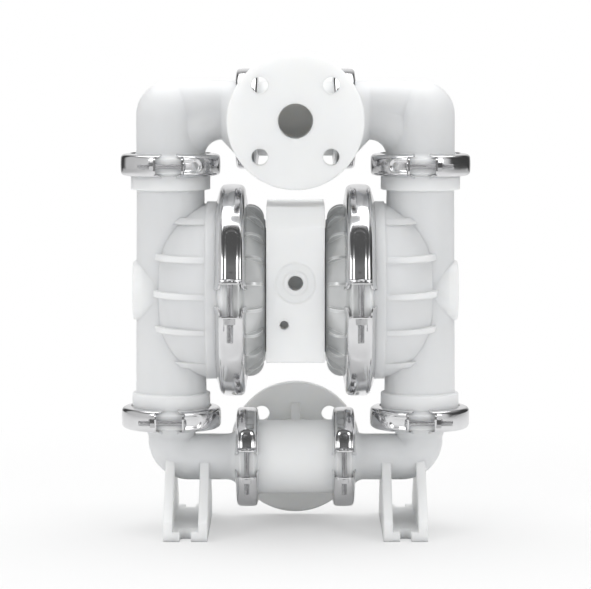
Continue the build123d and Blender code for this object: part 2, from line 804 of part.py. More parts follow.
def manifold_seals():
    seals = []
    for side in (1, -1):
        for z in (inlet_z, discharge_z):
            x = side * (manifold_joint_x - joint_seal_wire / 2 - press_gap / 2)
            seals.append(Pos(x, 0, z) * (Rot(0, 90, 0) * ring_seal(manifold_seal_radius, joint_seal_wire)))
    return group(seals)


# Centre block and what is inside it

def center_block():
    side = outline([
        (block_front_y, block_bottom_z), (block_back_y, block_bottom_z), (block_back_y, block_top_z),
        (block_front_y + block_shoulder_depth, block_top_z), (block_front_y, block_shoulder_z),
    ], [(0, block_corner), (1, block_corner), (2, block_corner)])
    plane = Plane(origin=(0, 0, 0), x_dir=(0, 1, 0), z_dir=(1, 0, 0))
    body = extrude(plane * side, block_half_width, both=True)
    body = body - rod_x(shaft_radius + bushing_wall + press_gap, -block_half_width - 1, block_half_width + 1)
    body = body - rod_x(pilot_sleeve_radius + press_gap, -block_half_width - 1, block_half_width + 1, 0, pilot_z)
    ring = rod_y(exhaust_ring_radius, block_front_y - 1, block_front_y + exhaust_ring_depth, 0, exhaust_z)
    plateau = rod_y(exhaust_radius + exhaust_lip, block_front_y - 1, block_front_y + exhaust_ring_depth, 0, exhaust_z)
    body = body - (ring - plateau)
    body = body - rod_y(exhaust_radius, block_front_y - 1, block_front_y + exhaust_depth, 0, exhaust_z)
    riser_y = block_front_y + exhaust_depth - exhaust_duct_radius
    body = body - rod_z(exhaust_duct_radius, exhaust_z, exhaust_duct_z, 0, riser_y)
    body = body - rod_y(exhaust_duct_radius, riser_y, block_back_y + 1, 0, exhaust_duct_z)
    port_end = block_front_y + pilot_port_depth
    body = body - rod_y(pilot_port_radius, block_front_y - 1, port_end, pilot_port_x, pilot_port_z)
    for side_sign in (1, -1):
        for y, z in air_screw_places():
            start = side_sign * (block_half_width + 1)
            end = side_sign * (air_floor_x - air_screw_length - 1)
            body = body - rod_x(air_screw_radius + press_gap, start, end, y, z)
    for x, z in valve_screw_places():
        hole_end = block_back_y - valve_screw_reach - stud_spare
        body = body - rod_y(valve_screw_radius + press_gap, hole_end, block_back_y + 1, x, z)
    return body


def air_screw_places():
    """(y, z) of the screws that hold an air chamber to the block."""
    reach = air_screw_circle * math.cos(math.radians(45))
    return [(sy * reach, shaft_z + sz * reach) for sy in (1, -1) for sz in (1, -1)]


def valve_screw_places():
    """(x, z) of the screws that hold the air valve to the block."""
    x = valve_half_width - valve_screw_inset
    inset = valve_screw_inset + 1
    return [(sx * x, z) for sx in (1, -1) for z in (valve_bottom_z + inset, valve_top_z - inset)]


def shaft_bushing():
    half = block_half_width - seal_wire - seal_land
    bore = rod_x(shaft_radius + running_gap, -half - 1, half + 1)
    return rod_x(shaft_radius + bushing_wall, -half, half) - bore


def shaft_seals():
    """Lip seals at both ends of the bushing."""
    inner = shaft_radius + running_gap
    outer = shaft_radius + bushing_wall
    start = block_half_width - seal_wire - seal_land
    finish = block_half_width
    right = turned_x(outline([(start, inner), (start, outer), (finish, outer), (finish, inner + seal_land)]))
    return group([right, mirrored(right)])


def ring_groove(x, width, radius, depth):
    """The ring to cut for a groove round the pilot's axis."""
    half = width / 2
    top, floor = radius + 1, radius - depth
    return turned_x(outline([(x - half, floor), (x - half, top), (x + half, top), (x + half, floor)]), pilot_z)


def pilot_sleeve():
    """Ported sleeve that guides the pilot spool."""
    half = block_half_width - snap_ring_thickness
    body = rod_x(pilot_sleeve_radius, -half, half, 0, pilot_z)
    body = body - rod_x(pilot_radius + running_gap, -half - 1, half + 1, 0, pilot_z)
    for x in sleeve_groove_places:
        body = body - ring_groove(x, sleeve_groove_width, pilot_sleeve_radius, sleeve_groove_depth)
    return body


def pilot_snap_rings():
    """Rings that keep the pilot sleeve in the block."""
    inner = pilot_sleeve_radius - snap_ring_reach
    bore = rod_x(inner, -block_half_width - 1, block_half_width + 1, 0, pilot_z)
    rings = []
    for side in (1, -1):
        start = side * (block_half_width - snap_ring_thickness)
        end = side * block_half_width
        rings.append(rod_x(pilot_sleeve_radius, start, end, 0, pilot_z) - bore)
    return group(rings)


def pilot_spool():
    body = rod_x(pilot_radius, -pilot_end_x, pilot_end_x, 0, pilot_z)
    for x in pilot_groove_places:
        body = body - ring_groove(x, pilot_groove_width, pilot_radius, pilot_groove_depth)
    return chamfer(body.edges().filter_by(GeomType.CIRCLE).group_by(Axis.X)[0], 1.0)


# Air chambers

def air_chamber():
    """Dished cover between the block and the diaphragm, with fins round its shoulder."""
    face = diaphragm_rim_thickness / 2
    rim = rim_points(large_band, face, air_rim_radius)
    back = diaphragm_x - rim[2][0]
    chord_x = back - air_step
    chord_radius = air_rim_radius - air_edge
    points = [(diaphragm_x - face, cavity_radius)]
    points += [(diaphragm_x - along, radius) for along, radius in rim]
    points += [(chord_x, chord_radius), (air_back_x + air_edge, air_back_radius)]
    points += [(air_back_x, air_back_radius - air_edge_drop), (air_back_x, air_opening_radius)]
    points += [(air_floor_x, air_opening_radius), (air_floor_x, air_back_radius - air_floor_round)]
    points += [(chord_x, chord_radius - air_wall * 1.4), (chord_x + air_wall * 1.2, cavity_radius)]
    body = turned_x(outline(points, large_rim_rounds() + [(10, air_floor_round)]))
    low = (air_back_x + air_edge * 0.6, air_back_radius - air_edge * 0.6)
    high = (chord_x, chord_radius - air_step / 3)
    middle = ((low[0] + high[0]) / 2, (low[1] + high[1]) / 2)
    under = (middle[0] + 1.0, middle[1] - 1.2)
    over = (middle[0] - air_fin_bulge * 0.62, middle[1] + air_fin_bulge * 0.78)
    leaf = make_face(ThreePointArc(low, over, high) + ThreePointArc(high, under, low))
    plane = Plane(origin=(0, 0, shaft_z), x_dir=(1, 0, 0), z_dir=(0, -1, 0))
    fin = extrude(plane * leaf, air_fin_thickness / 2, both=True)
    for number in range(air_fin_count):
        body = body + fin.rotate(Axis((0, 0, shaft_z), (1, 0, 0)), (number + 0.5) * 360 / air_fin_count)
    body = body - rod_x(pilot_radius + air_pilot_gap, air_back_x - 1, air_floor_x + 1, 0, pilot_z)
    for y, z in air_screw_places():
        body = body - rod_x(air_screw_radius + screw_hole_gap, air_back_x - 1, air_floor_x + 1, y, z)
    return body


def air_gasket():
    body = rod_x(air_gasket_radius, block_half_width, air_back_x)
    body = body - rod_x(air_opening_radius, block_half_width - 1, air_back_x + 1)
    body = body - rod_x(pilot_radius + air_pilot_gap, block_half_width - 1, air_back_x + 1, 0, pilot_z)
    for y, z in air_screw_places():
        body = body - rod_x(air_screw_radius + screw_hole_gap, block_half_width - 1, air_back_x + 1, y, z)
    return body


def socket_screw(radius, length, head_radius, head_height):
    """Socket head cap screw about X, its head starting at x = 0 and the shank going to -X."""
    points = [
        (-length, 0), (-length, radius * 0.75), (-length + radius * 0.4, radius), (0, radius),
        (0, head_radius), (head_height, head_radius), (head_height, 0),
    ]
    screw = turned_x(outline(points, [(5, screw_head_round)]), 0)
    socket = Plane(origin=(head_height * 0.4, 0, 0), x_dir=(0, 1, 0), z_dir=(1, 0, 0))
    return screw - extrude(socket * RegularPolygon(radius * 0.8, 6), head_height)


def air_chamber_screws():
    screw = socket_screw(air_screw_radius, air_screw_length, air_screw_head_radius, air_screw_head_height)
    right = [Pos(air_floor_x, y, z) * screw for y, z in air_screw_places()]
    return group(right + [mirrored(piece) for piece in right])


# Diaphragms, pistons and shaft

def diaphragm():
    """Moulded diaphragm: flat middle, one rolled corrugation and a clamped rim."""
    half = diaphragm_thickness / 2
    rim = diaphragm_rim_thickness / 2
    start = inner_piston_radius + diaphragm_flat_margin
    end = cavity_radius
    middle = (start + end) / 2
    hole = stud_radius + rest_gap
    x = diaphragm_x
    roll_x = x - diaphragm_roll_depth
    edge = Polyline((x - rim, end), (x - rim, diaphragm_outer_radius), (x + rim, diaphragm_outer_radius), (x + rim, end))
    front_roll = ThreePointArc((x + rim, end), (roll_x + half, middle), (x + half, start))
    flat = Polyline((x + half, start), (x + half, hole), (x - half, hole), (x - half, start))
    back_roll = ThreePointArc((x - half, start), (roll_x - half, middle), (x - rim, end))
    return turned_x(make_face(edge + front_roll + flat + back_roll))


def outer_piston():
    """Dished plate with the stud that screws into the shaft."""
    start = diaphragm_x + diaphragm_thickness / 2
    points = [
        (start - stud_length, 0), (start - stud_length, stud_radius - stud_chamfer),
        (start - stud_length + stud_chamfer, stud_radius),
        (start, stud_radius), (start, outer_piston_radius), (start + piston_rim_height, outer_piston_radius),
        (start + outer_piston_height, inner_piston_hub_radius), (start + outer_piston_height, 0),
    ]
    return turned_x(outline(points, [(5, 3.0), (6, 6.0)]))


def inner_piston():
    """Dished plate on the air side of the diaphragm, with a hub against the disc spring."""
    face = diaphragm_x - diaphragm_thickness / 2
    points = [
        (inner_piston_x, stud_radius + press_gap), (inner_piston_x, inner_piston_hub_radius),
        (inner_piston_face_x, inner_piston_hub_radius), (inner_piston_face_x, inner_piston_radius - piston_rim_width),
        (face - piston_rim_height, inner_piston_radius), (face, inner_piston_radius), (face, stud_radius + press_gap),
    ]
    return turned_x(outline(points, [(3, 4.0), (4, 1.5)]))


def disc_spring():
    """Conical disc spring between the shaft and the inner piston."""
    inner = stud_radius + press_gap
    points = [
        (shaft_half_length, inner), (shaft_half_length, inner + disc_spring_flat),
        (shaft_half_length + disc_spring_dish, disc_spring_radius), (inner_piston_x, disc_spring_radius),
        (inner_piston_x, inner),
    ]
    return turned_x(outline(points))


def diaphragm_shaft():
    body = rod_x(shaft_radius, -shaft_half_length, shaft_half_length)
    body = chamfer(body.edges().filter_by(GeomType.CIRCLE), 1.0)
    stud_end = diaphragm_x + diaphragm_thickness / 2 - stud_length
    for side in (1, -1):
        start = side * (stud_end - stud_spare)
        end = side * (shaft_half_length + 1)
        body = body - rod_x(stud_radius + press_gap, start, end)
    return body


# Air valve on the back of the block

def valve_block(y_from, y_to):
    """Upright plate with rounded corners behind the block."""
    plane = Plane(origin=(0, y_from, 0), x_dir=(1, 0, 0), z_dir=(0, -1, 0))
    shape = outline([
        (-valve_half_width, valve_bottom_z), (valve_half_width, valve_bottom_z),
        (valve_half_width, valve_top_z), (-valve_half_width, valve_top_z),
    ], [(corner, valve_corner) for corner in range(4)])
    return extrude(plane * shape, -(y_to - y_from))


def valve_layer(y_from, y_to):
    """Plate or gasket under the air valve, with its ports and screw holes."""
    body = valve_block(y_from, y_to)
    body = body - rod_y(exhaust_duct_radius, y_from - 1, y_to + 1, 0, exhaust_duct_z)
    for x in (-working_port_x, working_port_x):
        body = body - rod_y(working_port_radius, y_from - 1, y_to + 1, x, valve_middle_z)
    for x, z in valve_screw_places():
        body = body - rod_y(valve_screw_radius + screw_hole_gap, y_from - 1, y_to + 1, x, z)
    return body


def air_valve_body():
    body = valve_layer(valve_face_y, valve_back_y)
    body = body - rod_z(valve_bore, valve_bottom_z - 1, valve_top_z + 1, 0, spool_y)
    inlet_floor_y = valve_back_y - air_inlet_depth
    body = body - rod_y(air_inlet_radius, inlet_floor_y, valve_back_y + 1, 0, valve_middle_z)
    body = body - rod_y(air_passage_radius, spool_y, inlet_floor_y + 1, 0, valve_middle_z)
    return body


def air_valve_end_caps():
    """Round plugs that close the spool bore, each with a flat head."""
    caps = []
    for z, direction in ((valve_bottom_z, -1), (valve_top_z, 1)):
        plug_z, head_z = z - direction * valve_cap_plug, z + direction * valve_cap_height
        plug_radius, head_radius = valve_bore - press_gap, valve_bore + valve_cap_overlap
        points = [
            (0, plug_z), (plug_radius, plug_z), (plug_radius, z), (head_radius, z),
            (head_radius, head_z - direction * valve_cap_edge), (head_radius - valve_cap_edge, head_z), (0, head_z),
        ]
        caps.append(turned_z(outline(points), 0, spool_y))
    return group(caps)


def air_valve_spool():
    """Spool with its lands, free to travel its stroke between the caps."""
    inset = valve_cap_plug + spool_stroke + spool_end_gap
    low, high = valve_bottom_z + inset, valve_top_z - inset
    radius = valve_bore - running_gap
    body = rod_z(spool_core_radius, low, high, 0, spool_y)
    pitch = (high - low - spool_land_height) / (spool_land_count - 1)
    for number in range(spool_land_count):
        start = low + number * pitch
        body = body + rod_z(radius, start, start + spool_land_height, 0, spool_y)
    return body


def air_valve_screws():
    length = valve_back_y - block_back_y + valve_screw_reach
    screw = socket_screw(valve_screw_radius, length, valve_screw_head, valve_screw_head)
    turned = screw.rotate(Axis.Z, 90)
    return group([Pos(x, valve_back_y, z) * turned for x, z in valve_screw_places()])


# Build every piece

def main():
    os.makedirs("parts", exist_ok=True)
    save("center_block", center_block())
    save("shaft_bushing", shaft_bushing())
    save("shaft_seals", shaft_seals())
    save("pilot_sleeve", pilot_sleeve())
    save("pilot_snap_rings", pilot_snap_rings())
    save("pilot_spool", pilot_spool())
    save("diaphragm_shaft", diaphragm_shaft())
    save("inlet_tee", tee(inlet_z, inlet_face_y))
    save("discharge_tee", tee(discharge_z, discharge_face_y))
    save("column_seals", joint_seals())
    save("manifold_seals", manifold_seals())

    sided = {
        "air_chamber": air_chamber(),
        "liquid_chamber": liquid_chamber(),
        "discharge_elbow": discharge_elbow(),
        "inlet_elbow": inlet_elbow(),
        "diaphragm": diaphragm(),
        "inner_piston": inner_piston(),
        "outer_piston": outer_piston(),
        "inlet_ball": ball(lower_ball_z),
        "discharge_ball": ball(upper_ball_z),
    }
    for name, solid in sided.items():
        save(name + "_right", solid)
        save(name + "_left", mirrored(solid))

    paired = {
        "air_gaskets": air_gasket(),
        "disc_springs": disc_spring(),
        "inlet_seats": valve_seat(lower_joint_z),
        "discharge_seats": valve_seat(upper_joint_z - seat_height),
    }
    for name, solid in paired.items():
        save(name, group([solid, mirrored(solid)]))
    save("air_chamber_screws", air_chamber_screws())

    large_halves = both_halves(large_band)
    small_halves = both_halves(small_band)
    large_bolts, large_nuts, small_bolts, small_nuts = [], [], [], []
    for side, name in ((1, "right"), (-1, "left")):
        place = ring_place("chamber", side, shaft_z)
        save("chamber_band_upper_" + name, place * large_halves[0])
        save("chamber_band_lower_" + name, place * large_halves[1])
        for front in (1, -1):
            large_bolts.append(place * clamp_bolt(large_band, front))
            large_nuts.append(place * clamp_nut(large_band, front))
        joints = (
            ("column", "column_band_upper_", upper_joint_z), ("column", "column_band_lower_", lower_joint_z),
            ("manifold", "manifold_band_upper_", discharge_z), ("manifold", "manifold_band_lower_", inlet_z),
        )
        for kind, label, height in joints:
            place = ring_place(kind, side, height)
            save(label + name, group([place * half for half in small_halves]))
            for front in (1, -1):
                small_bolts.append(place * clamp_bolt(small_band, front))
                small_nuts.append(place * clamp_nut(small_band, front))
    save("chamber_band_bolts", group(large_bolts))
    save("chamber_band_nuts", group(large_nuts))
    save("joint_band_bolts", group(small_bolts))
    save("joint_band_nuts", group(small_nuts))

    save("valve_plate", valve_layer(block_back_y, valve_plate_y))
    save("valve_gasket", valve_layer(valve_plate_y, valve_face_y))
    save("air_valve_body", air_valve_body())
    save("air_valve_end_caps", air_valve_end_caps())
    save("air_valve_spool", air_valve_spool())
    save("air_valve_screws", air_valve_screws())


main()
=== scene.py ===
# %% [markdown]
# The object is an air operated double diaphragm pump: white moulded plastic pipework and chambers, drawn
# together by polished stainless clamp bands, with two grey ribbed air chambers round a centre block.
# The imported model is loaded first, because every size and place in this file is measured on it.

# %% Load the fixed frame
import json
import math

import bmesh
import bpy
from mathutils import Matrix, Vector


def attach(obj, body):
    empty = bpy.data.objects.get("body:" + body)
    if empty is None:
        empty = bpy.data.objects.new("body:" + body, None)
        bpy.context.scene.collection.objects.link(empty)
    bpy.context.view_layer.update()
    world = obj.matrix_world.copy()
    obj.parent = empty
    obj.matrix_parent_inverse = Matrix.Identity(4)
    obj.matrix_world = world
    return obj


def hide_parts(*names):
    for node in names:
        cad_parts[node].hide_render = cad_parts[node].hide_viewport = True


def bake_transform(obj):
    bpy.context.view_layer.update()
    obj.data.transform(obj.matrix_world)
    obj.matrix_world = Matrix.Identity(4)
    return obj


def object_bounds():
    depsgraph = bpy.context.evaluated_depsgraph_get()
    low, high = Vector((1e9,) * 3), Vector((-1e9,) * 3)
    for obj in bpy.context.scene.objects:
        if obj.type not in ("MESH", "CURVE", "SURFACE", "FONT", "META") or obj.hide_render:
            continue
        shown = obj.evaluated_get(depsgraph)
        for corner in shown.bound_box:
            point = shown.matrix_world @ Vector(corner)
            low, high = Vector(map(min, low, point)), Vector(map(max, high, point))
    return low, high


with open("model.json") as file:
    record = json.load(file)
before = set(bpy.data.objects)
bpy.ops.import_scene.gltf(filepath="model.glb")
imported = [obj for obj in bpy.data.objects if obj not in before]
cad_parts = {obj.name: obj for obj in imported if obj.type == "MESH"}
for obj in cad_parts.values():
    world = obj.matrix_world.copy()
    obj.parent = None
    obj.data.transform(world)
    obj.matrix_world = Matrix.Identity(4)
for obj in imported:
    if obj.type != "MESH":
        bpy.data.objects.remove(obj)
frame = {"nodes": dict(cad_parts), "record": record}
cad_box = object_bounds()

nodes_of = frame["nodes"]
low_corner, high_corner = (Vector(corner) for corner in cad_box)
print("frame of", len(nodes_of), "nodes, size", [round(side, 3) for side in high_corner - low_corner])

# %% [markdown]
# The photograph was taken from about 3.3 m away with a long lens, a little above the middle of the pump and
# tipped down by five degrees. A long lens keeps the round flange round. The camera is set by those few real
# values, which were worked out from the flange's size, and not moved about until the picture looked right.

# %% The camera
scene = bpy.context.scene
scene.view_settings.view_transform = "Standard"
PHOTO_WIDTH = 591
FOCAL_PIXELS = 2960.5
SENSOR_MM = 36.0
CAMERA_DISTANCE = 3.3105
CAMERA_HEIGHT = 0.5593
CAMERA_TILT_DOWN = 0.089
FAR_ENOUGH = 50.0


def put_in_scene(name, data):
    """Makes an object of a mesh, a lamp or a camera, and puts it in the scene."""
    thing = bpy.data.objects.new(name, data)
    scene.collection.objects.link(thing)
    return thing


camera_data = bpy.data.cameras.new("studio_camera")
camera_data.sensor_width = SENSOR_MM
camera_data.lens = FOCAL_PIXELS * SENSOR_MM / PHOTO_WIDTH
camera_data.clip_end = FAR_ENOUGH
camera = put_in_scene("studio_camera", camera_data)
camera.location = (0.0, -CAMERA_DISTANCE, CAMERA_HEIGHT)
camera.rotation_euler = (math.pi / 2 - CAMERA_TILT_DOWN, 0.0, 0.0)
scene.camera = camera
print("lens", round(camera_data.lens, 1), "mm")

# %% [markdown]
# The world, the floor and every finish are drawn with shader nodes. Placing a node takes three steps each time:
# make it, set it, link it. One small helper does all three, so that a node reads as one line further down.

# %% A short way to place a shader node


def add_node(tree, kind, inputs=None, **settings):
    """Places a shader node. An input is either a fixed value or another node's output, which is linked."""
    node = tree.nodes.new("ShaderNode" + kind)
    for setting, value in settings.items():
        setattr(node, setting, value)
    for socket, value in (inputs or {}).items():
        if isinstance(value, bpy.types.NodeSocket):
            tree.links.new(value, node.inputs[socket])
        else:
            node.inputs[socket].default_value = value
    return node


# A colour Mix node keeps its sockets under these numbers, because its float ones share the same names.
FIRST_COLOR, SECOND_COLOR, MIXED_COLOR = 6, 7, 2
PLAIN_WHITE = (1, 1, 1, 1)
print("helper ready, colour sockets", FIRST_COLOR, SECOND_COLOR, MIXED_COLOR)

# %% [markdown]
# Polished steel only looks like steel when it has something bright and something dark to reflect. In a studio,
# screens and black flags stand round the pump for that. They could be planes in the scene, but those would also
# throw light and shadow on the plastic. Here they are painted on the world, by the angle round the pump: a dark
# room behind the camera, a wide white screen on the left and a narrow one on the right, black flags beyond
# them, which give the steel its dark edges, and the paler sweep at the back.

# %% The studio that the steel reflects
# (degrees round the pump from the camera's side, to the right; brightness seen in the steel)
STUDIO_ROUND = (
    (-180, 0.9), (-166, 0.75), (-152, 0.06), (-134, 0.05), (-120, 0.6), (-52, 0.7), (-34, 0.2),
    (22, 0.2), (33, 0.85), (62, 0.75), (74, 0.07), (150, 0.05), (166, 0.7), (180, 0.9),
)
CEILING_SEEN = (0.1, 0.38)      # brightness over the camera, and over the back of the pump
CEILING_HEIGHT = (0.45, 0.75)   # how steeply up a reflection looks where the ceiling starts and where it is whole
CEILING_BLEND = 0.3             # how far to the front and back the ceiling's two tones blend

world = bpy.data.worlds.new("studio")
scene.world = world
world.use_nodes = True
sky = world.node_tree
sky.nodes.clear()
ray_direction = add_node(sky, "TexCoord").outputs["Generated"]
split = add_node(sky, "SeparateXYZ", {0: ray_direction})
forward = add_node(sky, "Math", {0: split.outputs["Y"], 1: -1.0}, operation="MULTIPLY")
heading = add_node(sky, "Math", {0: split.outputs["X"], 1: forward.outputs[0]}, operation="ARCTAN2")
turn = add_node(sky, "MapRange", {"Value": heading.outputs[0], "From Min": -math.pi, "From Max": math.pi})
screens = add_node(sky, "ValToRGB", {0: turn.outputs[0]})
stops = screens.color_ramp.elements
for stop, (degrees, brightness) in enumerate(STUDIO_ROUND):
    element = stops[stop] if stop < 2 else stops.new(degrees / 360 + 0.5)
    element.position = degrees / 360 + 0.5
    element.color = (brightness, brightness, brightness, 1)
ceiling = add_node(sky, "MapRange", {
    "Value": split.outputs["Z"], "From Min": CEILING_HEIGHT[0], "From Max": CEILING_HEIGHT[1],
}, interpolation_type="SMOOTHSTEP")
overhead = add_node(sky, "MapRange", {
    "Value": split.outputs["Y"], "From Min": -CEILING_BLEND, "From Max": CEILING_BLEND,
    "To Min": CEILING_SEEN[0], "To Max": CEILING_SEEN[1],
})
studio = add_node(sky, "Mix", {
    "Factor": ceiling.outputs[0], FIRST_COLOR: screens.outputs["Color"], SECOND_COLOR: overhead.outputs[0],
}, data_type="RGBA")
print("screens and flags:", len(STUDIO_ROUND), "stops")

# %% [markdown]
# The same world is three things at once: the studio for reflections, one even sky for the light on dull surfaces,
# and plain white where the camera looks past the pump. Light Path tells the rays apart, so each gets its own.

# %% Which rays see which world
SKY_FOR_DIFFUSE = 0.6

reflected = add_node(sky, "Background", {"Color": studio.outputs[MIXED_COLOR]})
lit = add_node(sky, "Background", {"Color": PLAIN_WHITE, "Strength": SKY_FOR_DIFFUSE})
seen = add_node(sky, "Background", {"Color": PLAIN_WHITE})
rays = add_node(sky, "LightPath")
mirror_mix = add_node(sky, "MixShader", {
    0: rays.outputs["Is Glossy Ray"], 1: lit.outputs[0], 2: reflected.outputs[0],
})
straight = add_node(sky, "Math", {
    0: rays.outputs["Is Camera Ray"], 1: rays.outputs["Is Transmission Ray"],
}, operation="MAXIMUM")
camera_mix = add_node(sky, "MixShader", {
    0: straight.outputs[0], 1: mirror_mix.outputs[0], 2: seen.outputs[0],
})
add_node(sky, "OutputWorld", {"Surface": camera_mix.outputs[0]})
print("world of", len(sky.nodes), "nodes")

# %% [markdown]
# Soft boxes light the pump: a wide one over it, one on each side towards the front, and a low one that fills the
# undersides as a white floor does. Their size keeps the shadows soft, and in the steel the upper three show as
# the long bright bars of the photograph. The low one is kept out of the steel, which would mirror it as a patch.

# %% The soft boxes
MIDDLE_OF_PUMP = (0.0, 0.0, 0.27)
UNDER_THE_PUMP = (0.0, 0.0, 0.1)


def soft_box(name, place, target, size, power, in_steel=True):
    """A lamp with a wide face, which points at the target."""
    light = bpy.data.lights.new(name, "AREA")
    light.shape = "RECTANGLE"
    light.size, light.size_y = size
    light.energy = power
    lamp = put_in_scene(name, light)
    lamp.location = place
    lamp.visible_glossy = in_steel
    aim = Vector(target) - Vector(place)
    lamp.rotation_euler = aim.to_track_quat("-Z", "Y").to_euler()
    return lamp


boxes = [
    soft_box("top_box", (0.0, 0.3, 1.9), MIDDLE_OF_PUMP, (2.4, 1.4), 24.0),
    soft_box("left_box", (-1.7, -2.0, 1.3), MIDDLE_OF_PUMP, (1.0, 1.4), 12.0),
    soft_box("right_box", (1.8, -1.9, 1.2), MIDDLE_OF_PUMP, (0.9, 1.4), 9.0),
    soft_box("low_fill", (0.0, -2.3, 0.25), UNDER_THE_PUMP, (2.2, 0.5), 4.5, in_steel=False),
]
print("soft boxes:", len(boxes), "with", sum(lamp.data.energy for lamp in boxes), "watts")

# %% [markdown]
# The floor is a plain white sheet. Away from the pump the camera sees it fade into the white of the background,
# so that no horizon shows and only the soft shadow under the pump stays grey. The fade is white light that only
# camera rays see, so the sheet throws no more light on the pump than paper would.

# %% The floor
FLOOR_HALF = 4.0
FLOOR_WHITE = 0.86
FLOOR_ROUGHNESS = 0.9
SHADOW_HELD_BACK = 0.35      # how much of the shadow under the pump is lifted to the background's white
SHADOW_REACH = (0.25, 0.9)   # metres from the pump: the floor's own shade up to the first, white past the last

floor_mesh = bpy.data.meshes.new("floor")
corners = [(x * FLOOR_HALF, y * FLOOR_HALF, 0.0) for x, y in ((-1, -1), (1, -1), (1, 1), (-1, 1))]
floor_mesh.from_pydata(corners, [], [(0, 1, 2, 3)])
floor = put_in_scene("floor", floor_mesh)
paper = bpy.data.materials.new("floor_paper")
paper.use_nodes = True
sheet = paper.node_tree
paint = sheet.nodes["Principled BSDF"]
paint.inputs["Base Color"].default_value = (FLOOR_WHITE, FLOOR_WHITE, FLOOR_WHITE, 1)
paint.inputs["Roughness"].default_value = FLOOR_ROUGHNESS
paint.inputs["Specular IOR Level"].default_value = 0.0
floor_place = add_node(sheet, "TexCoord").outputs["Object"]
distance = add_node(sheet, "VectorMath", {0: floor_place}, operation="LENGTH")
fade = add_node(sheet, "MapRange", {
    "Value": distance.outputs["Value"], "From Min": SHADOW_REACH[0], "From Max": SHADOW_REACH[1],
    "To Min": SHADOW_HELD_BACK,
}, interpolation_type="SMOOTHSTEP")
whiten = add_node(sheet, "Math", {
    0: add_node(sheet, "LightPath").outputs["Is Camera Ray"], 1: fade.outputs[0],
}, operation="MULTIPLY")
sheet_mix = add_node(sheet, "MixShader", {
    0: whiten.outputs[0], 1: paint.outputs[0], 2: add_node(sheet, "Emission").outputs[0],
})
sheet.links.new(sheet_mix.outputs[0], sheet.nodes["Material Output"].inputs["Surface"])
floor_mesh.materials.append(paper)
print("floor", 2 * FLOOR_HALF, "m wide")

# %% [markdown]
# The finishes share a few effects: a cloudy change of tone in mouldings, a fine skin grain, polishing lines, and
# a painted highlight along edges, where light would catch them. Each effect is a node group with named inputs,
# built once and placed in every material that needs it with values of its own. The shader itself stays in the
# material.

# %% Helpers for node groups
FLOAT, COLOR, VECTOR = "NodeSocketFloat", "NodeSocketColor", "NodeSocketVector"


def new_group(name, inputs, outputs):
    """An empty shader group with named sockets. Returns the group and its two end nodes."""
    group = bpy.data.node_groups.new(name, "ShaderNodeTree")
    for socket, kind, value in inputs:
        group.interface.new_socket(socket, in_out="INPUT", socket_type=kind).default_value = value
    for socket, kind in outputs:
        group.interface.new_socket(socket, in_out="OUTPUT", socket_type=kind)
    return group, group.nodes.new("NodeGroupInput").outputs, group.nodes.new("NodeGroupOutput").inputs


def place_group(tree, group, values):
    """Puts a group in a material and sets its inputs."""
    node = tree.nodes.new("ShaderNodeGroup")
    node.node_tree = group
    for socket, value in values.items():
        node.inputs[socket].default_value = value
    return node.outputs


print("socket kinds:", FLOAT, COLOR, VECTOR)

# %% [markdown]
# Moulded plastic and cast metal are never one flat colour: they cool unevenly, and get handled. Broad soft noise
# between two near tones shows it. It follows the object's own coordinates, so it stays with the piece and runs
# on across its joints without a seam.

# %% Cloudy tone
cloud, cloud_in, cloud_out = new_group(
    "moulding_cloud",
    [("Scale", FLOAT, 12.0), ("Amount", FLOAT, 0.5), ("Light", COLOR, (0.9, 0.9, 0.9, 1)),
     ("Dark", COLOR, (0.8, 0.8, 0.8, 1))],
    [("Color", COLOR)],
)
cloud_noise = add_node(cloud, "TexNoise", {
    "Vector": add_node(cloud, "TexCoord").outputs["Object"], "Scale": cloud_in["Scale"],
    "Detail": 3.0, "Roughness": 0.45,
})
cloud_range = add_node(cloud, "MapRange", {
    "Value": cloud_noise.outputs["Fac"], "From Min": 0.3, "From Max": 0.7, "To Max": cloud_in["Amount"],
})
cloud_mix = add_node(cloud, "Mix", {
    "Factor": cloud_range.outputs[0], FIRST_COLOR: cloud_in["Light"], SECOND_COLOR: cloud_in["Dark"],
}, data_type="RGBA")
cloud.links.new(cloud_mix.outputs[MIXED_COLOR], cloud_out["Color"])
print(cloud.name, "of", len(cloud.nodes), "nodes")

# %% [markdown]
# The skin of a moulding copies the fine texture of its steel mould, and shines a little more in some places than
# in others. Fine noise gives the height for a bump, and broad noise the change of roughness. Modelling such a
# grain in the mesh would take millions of faces for something under a tenth of a millimetre.

# %% Skin grain
BROAD_SCALE = 25.0

grain, grain_in, grain_out = new_group(
    "skin_grain",
    [("Scale", FLOAT, 900.0), ("Roughness Low", FLOAT, 0.3), ("Roughness High", FLOAT, 0.45)],
    [("Height", FLOAT), ("Roughness", FLOAT)],
)
grain_place = add_node(grain, "TexCoord").outputs["Object"]
grain_noise = add_node(grain, "TexNoise", {"Vector": grain_place, "Scale": grain_in["Scale"], "Detail": 4.0})
broad_noise = add_node(grain, "TexNoise", {"Vector": grain_place, "Scale": BROAD_SCALE, "Detail": 5.0})
grain_range = add_node(grain, "MapRange", {
    "Value": broad_noise.outputs["Fac"],
    "To Min": grain_in["Roughness Low"], "To Max": grain_in["Roughness High"],
})
grain.links.new(grain_noise.outputs["Fac"], grain_out["Height"])
grain.links.new(grain_range.outputs[0], grain_out["Roughness"])
print(grain.name, "of", len(grain.nodes), "nodes")

# %% [markdown]
# Pressed and turned steel keeps the faint waves of its polishing. Turned parts carry them as rings, so the noise
# can be squeezed along one axis by Stretch. The same noise drives the height and the roughness, because on real
# metal the low places are also the ones the polishing wheel missed.

